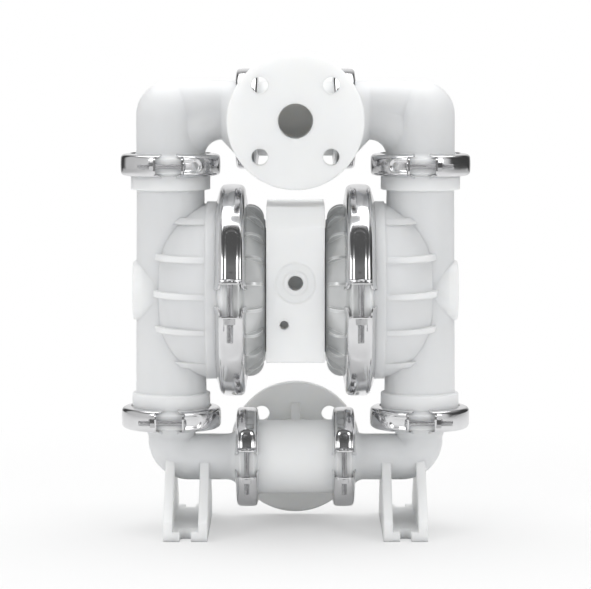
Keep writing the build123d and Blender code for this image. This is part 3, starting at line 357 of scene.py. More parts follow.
# %% Polishing lines
polish, polish_in, polish_out = new_group(
    "polish_lines",
    [("Stretch", VECTOR, (1.0, 1.0, 1.0)), ("Scale", FLOAT, 300.0), ("Roughness Low", FLOAT, 0.08),
     ("Roughness High", FLOAT, 0.2)],
    [("Height", FLOAT), ("Roughness", FLOAT)],
)
polish_place = add_node(polish, "Mapping", {
    "Vector": add_node(polish, "TexCoord").outputs["Object"], "Scale": polish_in["Stretch"],
})
polish_noise = add_node(polish, "TexNoise", {
    "Vector": polish_place.outputs[0], "Scale": polish_in["Scale"], "Detail": 6.0,
})
polish_range = add_node(polish, "MapRange", {
    "Value": polish_noise.outputs["Fac"],
    "To Min": polish_in["Roughness Low"], "To Max": polish_in["Roughness High"],
})
polish.links.new(polish_noise.outputs["Fac"], polish_out["Height"])
polish.links.new(polish_range.outputs[0], polish_out["Roughness"])
print(polish.name, "of", len(polish.nodes), "nodes")

# %% [markdown]
# The edges of a casting's fins catch the light, and here that light is painted into the colour as a painted
# highlight. A Bevel node gives the normal that a rounded edge would have. Where it differs from the true normal
# there is an edge, so the agreement of the two makes a mask for the painted highlight.

# %% A painted highlight along the edges
EDGE_AGREEMENT = (0.985, 0.86)   # no edge above the first, all edge under the last
EDGE_SAMPLES = 8

# The mask of the painted highlight: one along edges, nothing on flat faces.
edge, edge_in, edge_out = new_group("edge_line", [("Radius", FLOAT, 0.001)], [("Mask", FLOAT)])
rounded = add_node(edge, "Bevel", {"Radius": edge_in["Radius"]}, samples=EDGE_SAMPLES)
agreement = add_node(edge, "VectorMath", {
    0: rounded.outputs["Normal"], 1: add_node(edge, "NewGeometry").outputs["Normal"],
}, operation="DOT_PRODUCT")
edge_range = add_node(edge, "MapRange", {
    "Value": agreement.outputs["Value"], "From Min": EDGE_AGREEMENT[0], "From Max": EDGE_AGREEMENT[1],
})
edge.links.new(edge_range.outputs[0], edge_out["Mask"])
print(edge.name, "of", len(edge.nodes), "nodes")

# %% [markdown]
# Every material starts the same way: the standard shader with its plain values on its own sockets. Then the
# groups are linked in where something changes over the surface.

# %% Helpers for materials
SOFT_SAMPLES = 6


def new_material(name, color, roughness, metallic=0.0):
    """A material with the standard shader. Returns it with its node tree and the shader."""
    material = bpy.data.materials.new(name)
    material.use_nodes = True
    shader = material.node_tree.nodes["Principled BSDF"]
    shader.inputs["Base Color"].default_value = (*color, 1)
    shader.inputs["Roughness"].default_value = roughness
    shader.inputs["Metallic"].default_value = metallic
    return material, material.node_tree, shader


def two_tones(tree, light, dark, scale, amount=1.0):
    """The cloudy change between two colours, as a colour output."""
    tones = {"Scale": scale, "Amount": amount, "Light": (*light, 1), "Dark": (*dark, 1)}
    return place_group(tree, cloud, tones)["Color"]


def darker(color, share):
    """The same colour with this share of its brightness."""
    return tuple(part * share for part in color)


def skin_of(tree, scale, low, high):
    """The grain of a moulded or cast skin."""
    return place_group(tree, grain, {"Scale": scale, "Roughness Low": low, "Roughness High": high})


def bump(tree, shader, height, strength, distance, softness=0.0):
    """Feeds a height into the shader's normal. Softness is the radius to which light rounds off edges."""
    node = add_node(tree, "Bump", {"Strength": strength, "Distance": distance, "Height": height})
    if softness:
        soft_edges = add_node(tree, "Bevel", {"Radius": softness}, samples=SOFT_SAMPLES)
        tree.links.new(soft_edges.outputs["Normal"], node.inputs["Normal"])
    tree.links.new(node.outputs["Normal"], shader.inputs["Normal"])


print("groups ready:", [group.name for group in (cloud, grain, polish, edge)])

# %% [markdown]
# The white plastic is natural polypropylene. It is milky: light goes a little way in and comes out again, so its
# shadows are soft and its thin edges glow. A plain white shader looks like painted plaster instead. Subsurface
# scattering gives the milk, and the rounded normals soften the moulded edges. The air valve's plastic on the
# back is denser.

# %% White moulded plastic
LIGHT_REACH = 0.022                # metres that light travels in the plastic
WARM_INSIDE = (1.0, 0.97, 0.92)    # red goes furthest
MOULDED_EDGE = 0.003


def plastic(name, light, dark, milky):
    """A moulded plastic between two tones. Milky is how much of its light comes from inside."""
    material, tree, shader = new_material(name, light, roughness=0.4)
    tree.links.new(two_tones(tree, light, dark, scale=9.0), shader.inputs["Base Color"])
    skin = skin_of(tree, scale=700.0, low=0.34, high=0.5)
    tree.links.new(skin["Roughness"], shader.inputs["Roughness"])
    bump(tree, shader, skin["Height"], strength=0.12, distance=0.0004, softness=MOULDED_EDGE)
    shader.inputs["Subsurface Weight"].default_value = milky
    shader.inputs["Subsurface Radius"].default_value = WARM_INSIDE
    shader.inputs["Subsurface Scale"].default_value = LIGHT_REACH
    shader.inputs["Specular IOR Level"].default_value = 0.4
    return material


white_plastic = plastic("white_polypropylene", (0.87, 0.88, 0.88), (0.82, 0.83, 0.83), milky=0.9)
valve_plastic = plastic("white_valve_plastic", (0.80, 0.81, 0.81), (0.74, 0.75, 0.75), milky=0.1)
print("plastics:", white_plastic.name, valve_plastic.name)

# %% [markdown]
# The clamp bands are electropolished stainless strip, nearly a mirror with a slow wave in it. Bolts and nuts are
# a duller steel, with finer marks. The shaft and its spools are turned, with rings round them, and the bushing is
# bronze. One function makes them all, because they differ only in colour, roughness and the scale of the marks.

# %% Steel and bronze
EVEN = (1.0, 1.0, 1.0)
RINGS_ALONG_X = (40.0, 1.0, 1.0)


def metal(name, color, rough, scale, height, stretch=EVEN):
    """A bare metal. Rough is its lowest and highest roughness, height the depth of its marks in metres."""
    material, tree, shader = new_material(name, color, roughness=0.15, metallic=1.0)
    lines = place_group(tree, polish, {
        "Stretch": stretch, "Scale": scale, "Roughness Low": rough[0], "Roughness High": rough[1],
    })
    tree.links.new(lines["Roughness"], shader.inputs["Roughness"])
    tone = two_tones(tree, color, darker(color, 0.8), scale=40.0, amount=0.6)
    tree.links.new(tone, shader.inputs["Base Color"])
    bump(tree, shader, lines["Height"], strength=0.25, distance=height)
    return material


band_steel = metal("polished_stainless", (0.78, 0.78, 0.79), rough=(0.05, 0.2), scale=60.0, height=0.0004)
bolt_steel = metal("bolt_steel", (0.58, 0.58, 0.59), rough=(0.14, 0.28), scale=400.0, height=0.0001)
turned_steel = metal("turned_steel", (0.62, 0.62, 0.63), rough=(0.15, 0.3), scale=30.0, height=0.0001,
                     stretch=RINGS_ALONG_X)
bronze = metal("bushing_bronze", (0.62, 0.48, 0.27), rough=(0.25, 0.45), scale=200.0, height=0.0001)
print("metals:", band_steel.name, bolt_steel.name, turned_steel.name, bronze.name)

# %% [markdown]
# The air chambers are grey and a little metallic, between paint and bare metal, and the tops of their fins catch
# the light. Half metallic gives that dull shine, and a painted highlight along the edges, near-white in the
# colour, stands for the lit tops.

# %% Grey casting
# The radius and the near-white colour of the painted highlight along the fins' edges.
HIGHLIGHT_RADIUS = 0.0011
PAINTED_HIGHLIGHT_WHITE = (0.97, 0.97, 0.97, 1)


def casting(name, light, dark):
    """A half metallic casting between two tones, with a painted highlight along its edges."""
    material, tree, shader = new_material(name, light, roughness=0.45, metallic=0.5)
    # Painted highlight: the colour is mixed towards near-white where the edge mask is high.
    painted_highlight = place_group(tree, edge, {"Radius": HIGHLIGHT_RADIUS})
    tone = two_tones(tree, light, dark, scale=30.0)
    highlight_mix = add_node(tree, "Mix", {
        "Factor": painted_highlight["Mask"], FIRST_COLOR: tone, SECOND_COLOR: PAINTED_HIGHLIGHT_WHITE,
    }, data_type="RGBA")
    tree.links.new(highlight_mix.outputs[MIXED_COLOR], shader.inputs["Base Color"])
    skin = skin_of(tree, scale=500.0, low=0.26, high=0.4)
    tree.links.new(skin["Roughness"], shader.inputs["Roughness"])
    bump(tree, shader, skin["Height"], strength=0.2, distance=0.0004)
    return material


grey_casting = casting("grey_casting", (0.72, 0.73, 0.73), (0.62, 0.63, 0.63))
print("casting:", grey_casting.name)

# %% [markdown]
# Diaphragms, balls and seals are black rubber, which is dull and slightly uneven. The gaskets round the centre
# block are a pale sheet. Both have the same soft skin, so they share a function.

# %% Rubber and gasket sheet


def rubber(name, color):
    """A dull, soft skin of one colour."""
    material, tree, shader = new_material(name, color, roughness=0.6)
    skin = skin_of(tree, scale=400.0, low=0.5, high=0.75)
    tree.links.new(skin["Roughness"], shader.inputs["Roughness"])
    tree.links.new(two_tones(tree, color, darker(color, 0.7), scale=25.0), shader.inputs["Base Color"])
    bump(tree, shader, skin["Height"], strength=0.2, distance=0.0003)
    return material


black_rubber = rubber("black_rubber", (0.03, 0.03, 0.03))
pale_gasket = rubber("pale_gasket", (0.62, 0.62, 0.61))
print("rubbers:", black_rubber.name, pale_gasket.name)

# %% [markdown]
# A clamp band is pressed from stainless strip into a channel and rolled round. At the end of each half the crown
# of the channel is bent outward into a lug for the bolt, and the side legs run on past it as small flared hooks.
# The crown is pressed in a little next to the lug, to clear the bolt's head. Drawing solid blocks and cutting
# them would leave sharp, dead edges. Here only the outer skin is drawn, row by row along the bend, and the
# Solidify and Bevel modifiers give it the even thickness and the broken edges of pressed strip.

# %% Sizes of the two bands
# Radii, widths and lengths in metres. The crown of a large band leans to one side by crown_shift, as pressed.
LARGE_BAND = {
    "outer": 0.1184, "inner": 0.1002, "base": 0.034, "crown": 0.0256, "crown_shift": 0.0012, "bulge": 0.0005,
    "sheet": 0.0025, "corner": 0.0065, "split": 0.033, "tail": 0.007, "flare": 0.0016,
    "lug_width": 0.025, "lug_height": 0.014, "lug": 0.0035, "lug_bend": 0.003, "lug_round": 0.0055,
    "bolt": 0.0039, "nut": (0.0056, 0.0070), "tail_length": 0.0270, "pitch": 0.00125,
    "fine_length": 0.072, "fine": 0.0018, "coarse": 0.005,
}
SMALL_BAND = {
    "outer": 0.0556, "inner": 0.0452, "base": 0.0256, "crown": 0.0225, "crown_shift": 0.0, "bulge": 0.0003,
    "sheet": 0.002, "corner": 0.0046, "split": 0.0275, "tail": 0.005, "flare": 0.0012,
    "lug_width": 0.0185, "lug_height": 0.0093, "lug": 0.0025, "lug_bend": 0.002, "lug_round": 0.0045,
    "bolt": 0.0032, "nut": (0.0048, 0.0052), "tail_length": 0.0180, "pitch": 0.00115,
    "fine_length": 0.027, "fine": 0.0012, "coarse": 0.0035,
}


def ease(value):
    """Goes smoothly from 0 to 1."""
    value = min(1.0, max(0.0, value))
    return value * value * (3.0 - 2.0 * value)


def bend_start(band):
    """Where, from the plane of the split, the crown starts to bend into the lug."""
    reach = band["split"] / 2 + band["lug"] + band["lug_bend"]
    return reach * band["outer"] / (band["outer"] + band["lug_bend"])


for label, band in (("large", LARGE_BAND), ("small", SMALL_BAND)):
    print(label, "band bends into its lug at", round(bend_start(band) * 1000, 1), "mm from the split")

# %% [markdown]
# Cut across, the strip is a channel: two leaning legs that squeeze the flanges together, a round corner on each,
# and a crown that bulges slightly. The round corners matter most, because a mirror shows its bright bars there.
# The profile is a list of points from one leg's edge to the other's, with most of them in the corners.

# %% The channel's profile
LEG_STEPS, CORNER_STEPS, CROWN_STEPS = 4, 7, 6
TEAR_STEP = LEG_STEPS + 3     # the column where the leg and the lug part


def leg_and_corner(band, half_crown):
    """One side of the channel as (across, radius) points, from the leg's edge to the flat of the crown."""
    half_base, corner = band["base"] / 2, band["corner"]
    lean = math.atan2(half_base - half_crown, band["outer"] - band["inner"])
    sweep = math.pi / 2 - lean
    flat = half_crown - corner * math.tan(sweep / 2)
    arc = []
    for step in range(CORNER_STEPS + 1):
        angle = lean + sweep * step / CORNER_STEPS
        radius = band["outer"] - corner + corner * math.sin(angle)
        arc.append(Vector((flat + corner * math.cos(angle), radius)))
    leg_edge = Vector((half_base, band["inner"]))
    return [leg_edge.lerp(arc[0], step / LEG_STEPS) for step in range(LEG_STEPS)] + arc


def channel_profile(band):
    """The skin across the channel as (across, radius) points, from one leg's edge over to the other's."""
    high = leg_and_corner(band, band["crown"] / 2 - band["crown_shift"])
    mirrored = leg_and_corner(band, band["crown"] / 2 + band["crown_shift"])
    low = [Vector((-point.x, point.y)) for point in mirrored]
    first, last = low[-1].x, high[-1].x
    crown = []
    for step in range(1, 2 * CROWN_STEPS):
        part = step / (2 * CROWN_STEPS)
        rise = band["bulge"] * (1 - (2 * part - 1) ** 2)
        crown.append(Vector((first + (last - first) * part, band["outer"] + rise)))
    return low + crown + high[::-1]


print("points across a band:", len(channel_profile(LARGE_BAND)))

# %% [markdown]
# Beside a lug the crown has a pocket with a round end, and on the large band's upper half a small dimple right
# at the bend. Both are shallow, so they are a depth that is taken off each point's radius while the skin is
# drawn. A cut would break up the even rows that keep the reflections clean.

# %% The pressed pocket and dimple
POCKET_SLOPE = 0.35    # the share of the pocket's half width that its slope takes
# A pocket is (length from the lug, half width, depth), a dimple is (place, reach, depth).
PLAIN = {"pocket": (0.001, 0.001, 0.0), "dimple": (0.0, 1.0, 0.0)}
UPPER_PRESSING = {"pocket": (0.058, 0.0080, 0.0014), "dimple": (0.009, 0.0022, 0.0007)}
LOWER_PRESSING = {"pocket": (0.052, 0.0105, 0.0009), "dimple": (0.0, 1.0, 0.0)}
HEAD_PRESSING = {"pocket": (0.021, 0.0078, 0.0015), "dimple": (0.0, 1.0, 0.0)}


def pressed_depth(pressing, from_lug, across):
    """How deep the crown is pressed in, this far from the lug's bend and from the middle of the crown."""
    length, half_width, depth = pressing["pocket"]
    past = max(0.0, from_lug - (length - half_width))
    inside = ease((1.0 - math.hypot(past, across) / half_width) / POCKET_SLOPE)
    place, reach, dent = pressing["dimple"]
    return depth * inside + dent * math.exp(-((from_lug - place) ** 2 + across ** 2) / reach ** 2)


print("deepest pressing:", round(pressed_depth(UPPER_PRESSING, 0.009, 0.0) * 1000, 2), "mm")

# %% [markdown]
# The lug is the crown of the strip, bent outward round a small radius and trimmed to a rounded plate. So its
# rows go on from the crown's last row: first round the bend, while the channel flattens out, then up the plate,
# which narrows in a quarter circle at its top corners.

# %% The lug
BEND_STEPS = 6
PLATE_PARTS = (0.3, 0.55, 0.7, 0.8, 0.88, 0.94, 0.98, 1.0)    # closer together where the corners turn


def spread_flat(band, strip):
    """Where the columns of the strip lie across the flat plate of the lug."""
    lengths = [0.0]
    for first, second in zip(strip, strip[1:]):
        lengths.append(lengths[-1] + (second - first).length)
    return [band["lug_width"] / 2 * (2 * length / lengths[-1] - 1) for length in lengths]


def lug_rows(band, strip, sign, pressing):
    """The crown bent outward into the lug: rows of points for the columns of strip."""
    bend, face_x = band["lug_bend"], band["split"] / 2 + band["lug"]
    centre_x = face_x + bend
    centre_y = math.sqrt((band["outer"] + bend) ** 2 - centre_x ** 2)
    turn = math.atan2(centre_y, centre_x)
    flats = spread_flat(band, strip)
    rows = []
    for step in range(1, BEND_STEPS + 1):
        angle = math.pi + turn * (1 - step / BEND_STEPS)
        out = Vector((math.cos(angle), math.sin(angle)))
        flattening = ease(step / BEND_STEPS)
        row = []
        for (across, radius), flat in zip(strip, flats):
            drop = band["outer"] - radius + pressed_depth(pressing, 0.0, across + band["crown_shift"])
            base = Vector((centre_x, centre_y)) + out * (bend + drop * (1 - flattening))
            row.append((base.x, sign * base.y, across + (flat - across) * flattening))
        rows.append(row)
    half_width, rounding = band["lug_width"] / 2, band["lug_round"]
    top = band["outer"] + band["lug_height"]
    straight = top - centre_y
    for part in PLATE_PARTS:
        height = centre_y + straight * part
        above = max(0.0, height - (top - rounding))
        width = half_width - rounding + math.sqrt(max(0.0, rounding ** 2 - above ** 2))
        rows.append([(face_x, sign * height, flat * width / half_width) for flat in flats])
    return rows


print("rows in a lug:", BEND_STEPS + len(PLATE_PARTS))

# %% [markdown]
# The two legs aren't bent up with the crown. They run on towards the split, narrow to a rounded end, and flare
# outward a little, so that the two halves slide past the flanges when the band is put on.

# %% The hooked ends of the legs
TAIL_STEPS = 7
CLOSING_FROM = 0.45     # the share of the tail before its end starts to round off
CLOSING_DEPTH = 0.62
FLARE_AT_TEAR = 0.3     # the share of the flare where the leg leaves the crown; its free edge has all of it


def tail_rows(band, leg, sign, side):
    """A side leg run on past the lug and flared: rows of points for the columns of leg."""
    bend_x = bend_start(band)
    tail_x = band["split"] / 2 - band["tail"]
    edge_radius = min(radius for _, radius in leg)
    tear_radius = max(radius for _, radius in leg)
    rows = []
    for step in range(1, TAIL_STEPS + 1):
        part = step / TAIL_STEPS
        x = bend_x + (tail_x - bend_x) * part
        closing = max(0.0, (part - CLOSING_FROM) / (1 - CLOSING_FROM))
        squeeze = CLOSING_DEPTH * (1 - math.sqrt(max(0.0, 1 - closing ** 2)))
        row = []
        for across, radius in leg:
            low = (tear_radius - radius) / (tear_radius - edge_radius)
            near = radius + ((edge_radius + tear_radius) / 2 - radius) * squeeze
            hook = side * band["flare"] * part ** 2 * (FLARE_AT_TEAR + (1 - FLARE_AT_TEAR) * low)
            row.append((x, sign * math.sqrt(near ** 2 - x ** 2), across + hook))
        rows.append(row)
    return rows


print("rows in a hook:", TAIL_STEPS)

# %% [markdown]
# One half is now put together: rows along the ring, close together near the lugs where the pressing is, then a
# lug and two hooks at each end. A grid of four-sided faces joins the rows, and shared points are merged.

# %% Half a band as one skin
MERGE_WITHIN = 1e-6


def add_grid(shell, rows, flip=False):
    """Adds a sheet of faces through rows of points."""
    made = [[shell.verts.new(point) for point in row] for row in rows]
    for low, high in zip(made, made[1:]):
        for left in range(len(low) - 1):
            corners = [low[left], high[left], high[left + 1], low[left + 1]]
            shell.faces.new(corners[::-1] if flip else corners)


def finished_mesh(name, shell, finish, sharp_degrees=None):
    """Turns the drawn faces into a smooth mesh, with sharp edges where faces meet at more than the angle."""
    mesh = bpy.data.meshes.new(name)
    shell.to_mesh(mesh)
    shell.free()
    mesh.shade_smooth()
    if sharp_degrees:
        mesh.set_sharp_from_angle(angle=math.radians(sharp_degrees))
    mesh.materials.append(finish)
    return mesh


def places_along(band, half_length):
    """Distances of the rows from the middle of the half, along the crown."""
    fine_from = half_length - band["fine_length"]
    coarse_steps = round(fine_from / band["coarse"])
    fine_steps = round(band["fine_length"] / band["fine"])
    places = [fine_from * step / coarse_steps for step in range(coarse_steps)]
    places += [fine_from + band["fine_length"] * step / fine_steps for step in range(fine_steps + 1)]
    return [-place for place in places[:0:-1]] + places


def band_row(band, pressing, place, half_length):
    """The profile at one place along the ring."""
    bend_x = bend_start(band)
    row = []
    for across, radius in channel_profile(band):
        angle = place / half_length * math.acos(bend_x / radius)
        from_middle = across + band["crown_shift"]
        inside = 0.0
        if abs(from_middle) < band["crown"] / 2:
            inside = pressed_depth(pressing, half_length - abs(place), from_middle)
        row.append(((radius - inside) * math.cos(angle), (radius - inside) * math.sin(angle), across))
    return row


def band_half_mesh(name, band, pressing):
    """The half band on the +X side of its split, about the Z axis."""
    profile = channel_profile(band)
    half_length = band["outer"] * math.acos(bend_start(band) / band["outer"])
    rows = [band_row(band, pressing, place, half_length) for place in places_along(band, half_length)]
    shell = bmesh.new()
    add_grid(shell, rows)
    last = len(profile) - 1 - TEAR_STEP
    middle_columns = slice(TEAR_STEP, last + 1)
    leg_columns = ((-1, slice(0, TEAR_STEP + 1)), (1, slice(last, len(profile))))
    for sign, end_row in ((1, rows[-1]), (-1, rows[0])):
        flip = sign < 0
        lug = lug_rows(band, profile[middle_columns], sign, pressing)
        add_grid(shell, [end_row[middle_columns]] + lug, flip)
        for side, columns in leg_columns:
            add_grid(shell, [end_row[columns]] + tail_rows(band, profile[columns], sign, side), flip)
    bmesh.ops.remove_doubles(shell, verts=shell.verts, dist=MERGE_WITHIN)
    return finished_mesh(name, shell, band_steel)


large_upper_mesh = band_half_mesh("large_half_upper", LARGE_BAND, UPPER_PRESSING)
large_lower_mesh = band_half_mesh("large_half_lower", LARGE_BAND, LOWER_PRESSING)
small_head_mesh = band_half_mesh("small_half_head", SMALL_BAND, HEAD_PRESSING)
small_nut_mesh = band_half_mesh("small_half_nut", SMALL_BAND, PLAIN)
print("faces in a large half:", len(large_upper_mesh.polygons))

# %% [markdown]
# A pressed strip is equally thick all over, and its cut edges are broken so that they don't cut the fitter's
# hands. Two modifiers do that on the skin: Solidify grows it inward, and Bevel takes off the sharp edges.

# %% Thickness and broken edges
BROKEN_SHARE = 0.16     # of the sheet's thickness
SHARP_EDGE = math.radians(50)


def strip_piece(name, mesh, matrix, sheet, node):
    """One pressed half, with its thickness and its broken edges."""
    piece = put_in_scene(name, mesh)
    piece.matrix_world = matrix
    thick = piece.modifiers.new("thickness", "SOLIDIFY")
    thick.thickness = sheet
    thick.offset = -1.0
    thick.use_even_offset = True
    broken = piece.modifiers.new("broken_edges", "BEVEL")
    broken.width = sheet * BROKEN_SHARE
    broken.segments = 2
    broken.limit_method = "ANGLE"
    broken.angle_limit = SHARP_EDGE
    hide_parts(node)
    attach(piece, "casing")


print("broken edge on a large band:", round(LARGE_BAND["sheet"] * BROKEN_SHARE * 1000, 2), "mm")

# %% [markdown]
# Each band is drawn about the Z axis and then turned to where it sits: two large ones round the diaphragms, four
# small ones at the tops and feet of the columns, and four on the manifolds. A place is a point on the band's
# axis, the way to its first half, and the way of the axis. The other half is the same half turned half a turn.

# %% Places of the bands
DIAPHRAGM_X, SHAFT_Z = 0.071, 0.269
COLUMN_X, UPPER_JOINT_Z, LOWER_JOINT_Z = 0.1397, 0.410, 0.126
MANIFOLD_X, DISCHARGE_Z, INLET_Z = 0.054, 0.461, 0.0805
HALF_TURN = Matrix.Rotation(math.pi, 4, "Z")
SIDES = (("left", -1), ("right", 1))


def placed(origin, toward, axis):
    """A matrix that takes the drawn X to toward and the drawn Z to axis."""
    toward, axis = Vector(toward), Vector(axis)
    rotation = Matrix((toward, axis.cross(toward), axis)).transposed().to_4x4()
    return Matrix.Translation(origin) @ rotation


joints = []
for side_name, side in SIDES:
    ring = placed((side * DIAPHRAGM_X, 0, SHAFT_Z), (0, 0, 1), (side, 0, 0))
    for half, mesh, at in (("upper_", large_upper_mesh, ring), ("lower_", large_lower_mesh, ring @ HALF_TURN)):
        name = "chamber_clamp_" + half + side_name
        strip_piece(name, mesh, at, LARGE_BAND["sheet"], "chamber_band_" + half + side_name)
    joints.append((LARGE_BAND, ring))
    for node, origin, toward, axis in (
        ("column_band_upper_", (side * COLUMN_X, 0, UPPER_JOINT_Z), (-side, 0, 0), (0, 0, 1)),
        ("column_band_lower_", (side * COLUMN_X, 0, LOWER_JOINT_Z), (-side, 0, 0), (0, 0, 1)),
        ("manifold_band_upper_", (side * MANIFOLD_X, 0, DISCHARGE_Z), (0, 0, 1), (1, 0, 0)),
        ("manifold_band_lower_", (side * MANIFOLD_X, 0, INLET_Z), (0, 0, 1), (1, 0, 0)),
    ):
        ring = placed(origin, toward, axis)
        stem = node.replace("band", "clamp") + side_name
        strip_piece(stem + "_head_half", small_head_mesh, ring, SMALL_BAND["sheet"], node + side_name)
        strip_piece(stem + "_nut_half", small_nut_mesh, ring @ HALF_TURN, SMALL_BAND["sheet"], node + side_name)
        joints.append((SMALL_BAND, ring))
print("bands:", len(joints))

# %% [markdown]
# The bolts have a low domed head and a rolled thread. A real thread is a ridge that winds along the rod, so each
# point's radius follows from its angle and its distance along the rod. A stack of rings would be easier, but
# then the two sides of the thread would look alike instead of stepping by half a pitch.

# %% Bolts
BOLT_COLUMNS = 20
ROWS_PER_TURN = 5
THREAD_DEPTH = 0.5          # of the pitch
TIP_RADIUS = 0.72           # of the bolt's radius, where its tip is turned off to a cone
HEAD_SIZE = (1.65, 0.9)     # radius and height, of the bolt's radius
HEAD_SKIRT = 0.25           # the share of the head's height under its dome
HEAD_STEPS = 8


def rod_row(x, reaches):
    """A ring of points round the X axis, one for each reach."""
    row = []
    for column, reach in enumerate(reaches):
        angle = 2 * math.pi * (column / len(reaches))
        row.append((x, reach * math.cos(angle), reach * math.sin(angle)))
    return row


def closed_tube(shell, rows):
    """Adds rings of points joined into a closed skin, with a point at each end."""
    rings = [[shell.verts.new(point) for point in row] for row in rows]
    count = len(rings[0])
    join_rings(shell, zip(rings, rings[1:]))
    for ring, order in ((rings[0], -1), (rings[-1], 1)):
        tip = shell.verts.new(sum((vert.co for vert in ring), Vector()) / count)
        for start in range(count):
            corners = [ring[start], ring[(start + 1) % count], tip]
            shell.faces.new(corners[::order])


def join_rings(shell, pairs):
    """Adds the faces between each pair of rings."""
    for low, high in pairs:
        for start in range(len(low)):
            after = (start + 1) % len(low)
            shell.faces.new([low[start], low[after], high[after], high[start]])


def bolt_mesh(name, band):
    """A clamp bolt along X: the head beyond the +X lug, the thread through to the nut's side."""
    radius, pitch = band["bolt"], band["pitch"]
    grip = band["split"] / 2 + band["lug"]
    end = -grip - band["tail_length"]
    rows = []
    count = round((grip - end) / pitch * ROWS_PER_TURN)
    for step in range(count + 1):
        x = end + (grip - end) * step / count
        reaches = []
        for column in range(BOLT_COLUMNS):
            phase = (x / pitch - column / BOLT_COLUMNS) % 1.0
            ridge = 1 - abs(2 * phase - 1)
            reaches.append(min(radius - pitch * THREAD_DEPTH * ridge, radius * TIP_RADIUS + (x - end)))
        rows.append(rod_row(x, reaches))
    head_radius, head_height = (radius * share for share in HEAD_SIZE)
    rows.append(rod_row(grip, [head_radius] * BOLT_COLUMNS))
    for step in range(HEAD_STEPS):
        angle = math.pi / 2 * step / HEAD_STEPS
        x = grip + head_height * (HEAD_SKIRT + (1 - HEAD_SKIRT) * math.sin(angle))
        rows.append(rod_row(x, [head_radius * math.cos(angle)] * BOLT_COLUMNS))
    shell = bmesh.new()
    closed_tube(shell, rows)
    bmesh.ops.recalc_face_normals(shell, faces=shell.faces)
    return finished_mesh(name, shell, bolt_steel, sharp_degrees=50)


bolt_meshes = {"large": bolt_mesh("large_bolt", LARGE_BAND), "small": bolt_mesh("small_bolt", SMALL_BAND)}
print("faces in a large bolt:", len(bolt_meshes["large"].polygons))

# %% [markdown]
# A nut is a hexagon whose corners are turned off to a cone, which leaves a curved line on each flat. A bevel on
# a six-sided prism can't give that curve. Here each of many columns gets the hexagon's own reach at its angle,
# and drops at the ends by as much as it stands out past the turned face.

# %% Nuts
NUT_TURN = math.radians(67)
NUT_COLUMNS = 48
TURNED_FACE = 0.95      # of the distance from the middle to a flat
BORE_SHARE = 0.97       # of the bolt's radius, a little inside the crest of its thread
CONE_SLOPE = 0.58


def nut_mesh(name, band):
    """A hexagon nut along -X, its face on the lug of the -X half."""
    to_flat, height = band["nut"]
    seat = band["split"] / 2 + band["lug"]
    face = to_flat * TURNED_FACE
    rows = []
    for level, kind in ((0, "bore"), (0, "face"), (0, "edge"), (1, "edge"), (1, "face"), (1, "bore")):
        row = []
        for column in range(NUT_COLUMNS):
            angle = 2 * math.pi * column / NUT_COLUMNS
            corner = to_flat / math.cos((angle + NUT_TURN) % (math.pi / 3) - math.pi / 6)
            reach = {"bore": band["bolt"] * BORE_SHARE, "face": face, "edge": corner}[kind]
            drop = (corner - face) * CONE_SLOPE if kind == "edge" else 0.0
            along = drop if level == 0 else height - drop
            row.append((-seat - along, reach * math.cos(angle), reach * math.sin(angle)))
        rows.append(row)
    shell = bmesh.new()
    rings = [[shell.verts.new(point) for point in row] for row in rows]
    join_rings(shell, zip(rings, rings[1:] + rings[:1]))
    bmesh.ops.recalc_face_normals(shell, faces=shell.faces)
    return finished_mesh(name, shell, bolt_steel, sharp_degrees=28)


nut_meshes = {"large": nut_mesh("large_nut", LARGE_BAND), "small": nut_mesh("small_nut", SMALL_BAND)}
print("faces in a large nut:", len(nut_meshes["large"].polygons))

# %% [markdown]
# Every band has a bolt and a nut at each of its two splits. They are drawn in the band's own directions, so the
# band's matrix and a shift to the lugs' middle put them in place, and copies share one mesh.

# %% Bolts and nuts on the bands
BOLT_HEIGHT = 0.56      # of the lug's height

for number, (band, ring) in enumerate(joints):
    label, stem = ("large", "chamber_band") if band is LARGE_BAND else ("small", "joint_band")
    line = band["outer"] + band["lug_height"] * BOLT_HEIGHT
    for front, letter in ((1, "a"), (-1, "b")):
        at = ring @ Matrix.Translation((0, front * line, 0))
        for mesh, kind in ((bolt_meshes[label], "bolt"), (nut_meshes[label], "nut")):
            piece = put_in_scene(f"{label}_{kind}_{number}_{letter}", mesh)
            piece.matrix_world = at
            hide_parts(f"{stem}_{kind}s")
            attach(piece, "casing")
print("bolts and nuts:", 4 * len(joints))
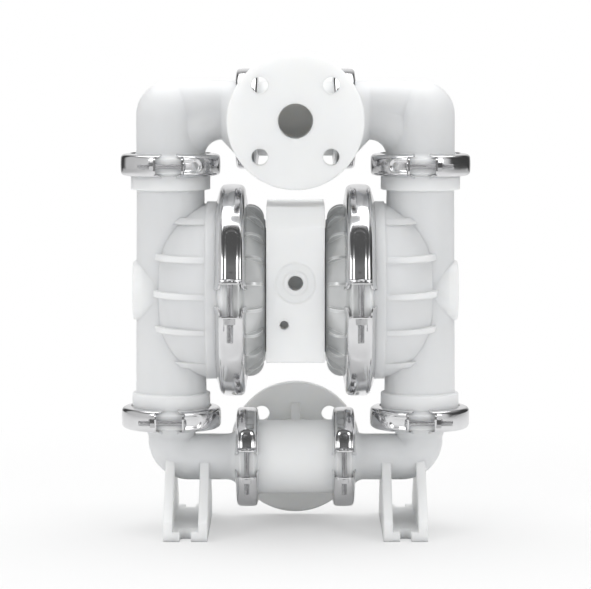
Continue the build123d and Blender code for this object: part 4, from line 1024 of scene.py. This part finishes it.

# %% [markdown]
# A diaphragm is moulded rubber. Its middle goes with the shaft, its rim stays clamped between the chambers, and
# the roll between them bends. A blend bends along one straight line only, so the disc is cut like a cake into
# slices, one for each line of bending. Neighbours share the cut at the same radius.

# %% The two diaphragms
SLICES = 12


def round_shaft(angle, radius=1.0):
    """The way out from the shaft at this angle, across X."""
    return Vector((0.0, radius * math.cos(angle), radius * math.sin(angle)))


def diaphragm_slice(name, source, number):
    """One slice of the disc, cut out of a copy of the node's skin."""
    shell = bmesh.new()
    shell.from_mesh(source.data)
    bmesh.ops.remove_doubles(shell, verts=shell.verts, dist=MERGE_WITHIN)
    shaft_line = Vector((0.0, 0.0, SHAFT_Z))
    for cut, sign in ((number, -1), (number + 1, 1)):
        out_of_slice = round_shaft(2 * math.pi * cut / SLICES + math.pi / 2, sign)
        everything = shell.verts[:] + shell.edges[:] + shell.faces[:]
        bmesh.ops.bisect_plane(
            shell, geom=everything, plane_co=shaft_line, plane_no=out_of_slice, clear_outer=True)
    return put_in_scene(name, finished_mesh(name, shell, black_rubber, sharp_degrees=40))


for side_name, side in SIDES:
    node = "diaphragm_" + side_name
    for number in range(SLICES):
        piece = diaphragm_slice(f"{node}_slice_{number}", nodes_of[node], number)
        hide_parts(node)
        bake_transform(piece)
print("slices of rubber:", 2 * SLICES)

# %% [markdown]
# The rest of the pump keeps its CAD shapes, which are right as they are. Every node of the frame gets the finish
# of its slot in the record, the hidden ones too, so that a cut through the pump looks finished as well.

# %% Dress the nodes
finish_of = {
    "moulded_plastic": white_plastic,
    "valve_plastic": valve_plastic,
    "piston_plastic": valve_plastic,
    "ribbed_casting": grey_casting,
    "piston_metal": turned_steel,
    "band_steel": band_steel,
    "fastener_steel": bolt_steel,
    "shaft_steel": turned_steel,
    "spool_metal": turned_steel,
    "bushing_bronze": bronze,
    "elastomer": black_rubber,
    "ball_rubber": black_rubber,
    "seal_rubber": black_rubber,
    "gasket_sheet": pale_gasket,
}
slot_of = {entry["node"]: entry["material_slot"] for entry in frame["record"]["subparts"]}
for node, part in nodes_of.items():
    part.data.materials.clear()
    part.data.materials.append(finish_of[slot_of[node]])
print("finishes in use:", len(set(slot_of.values())), "slots on", len(nodes_of), "nodes")
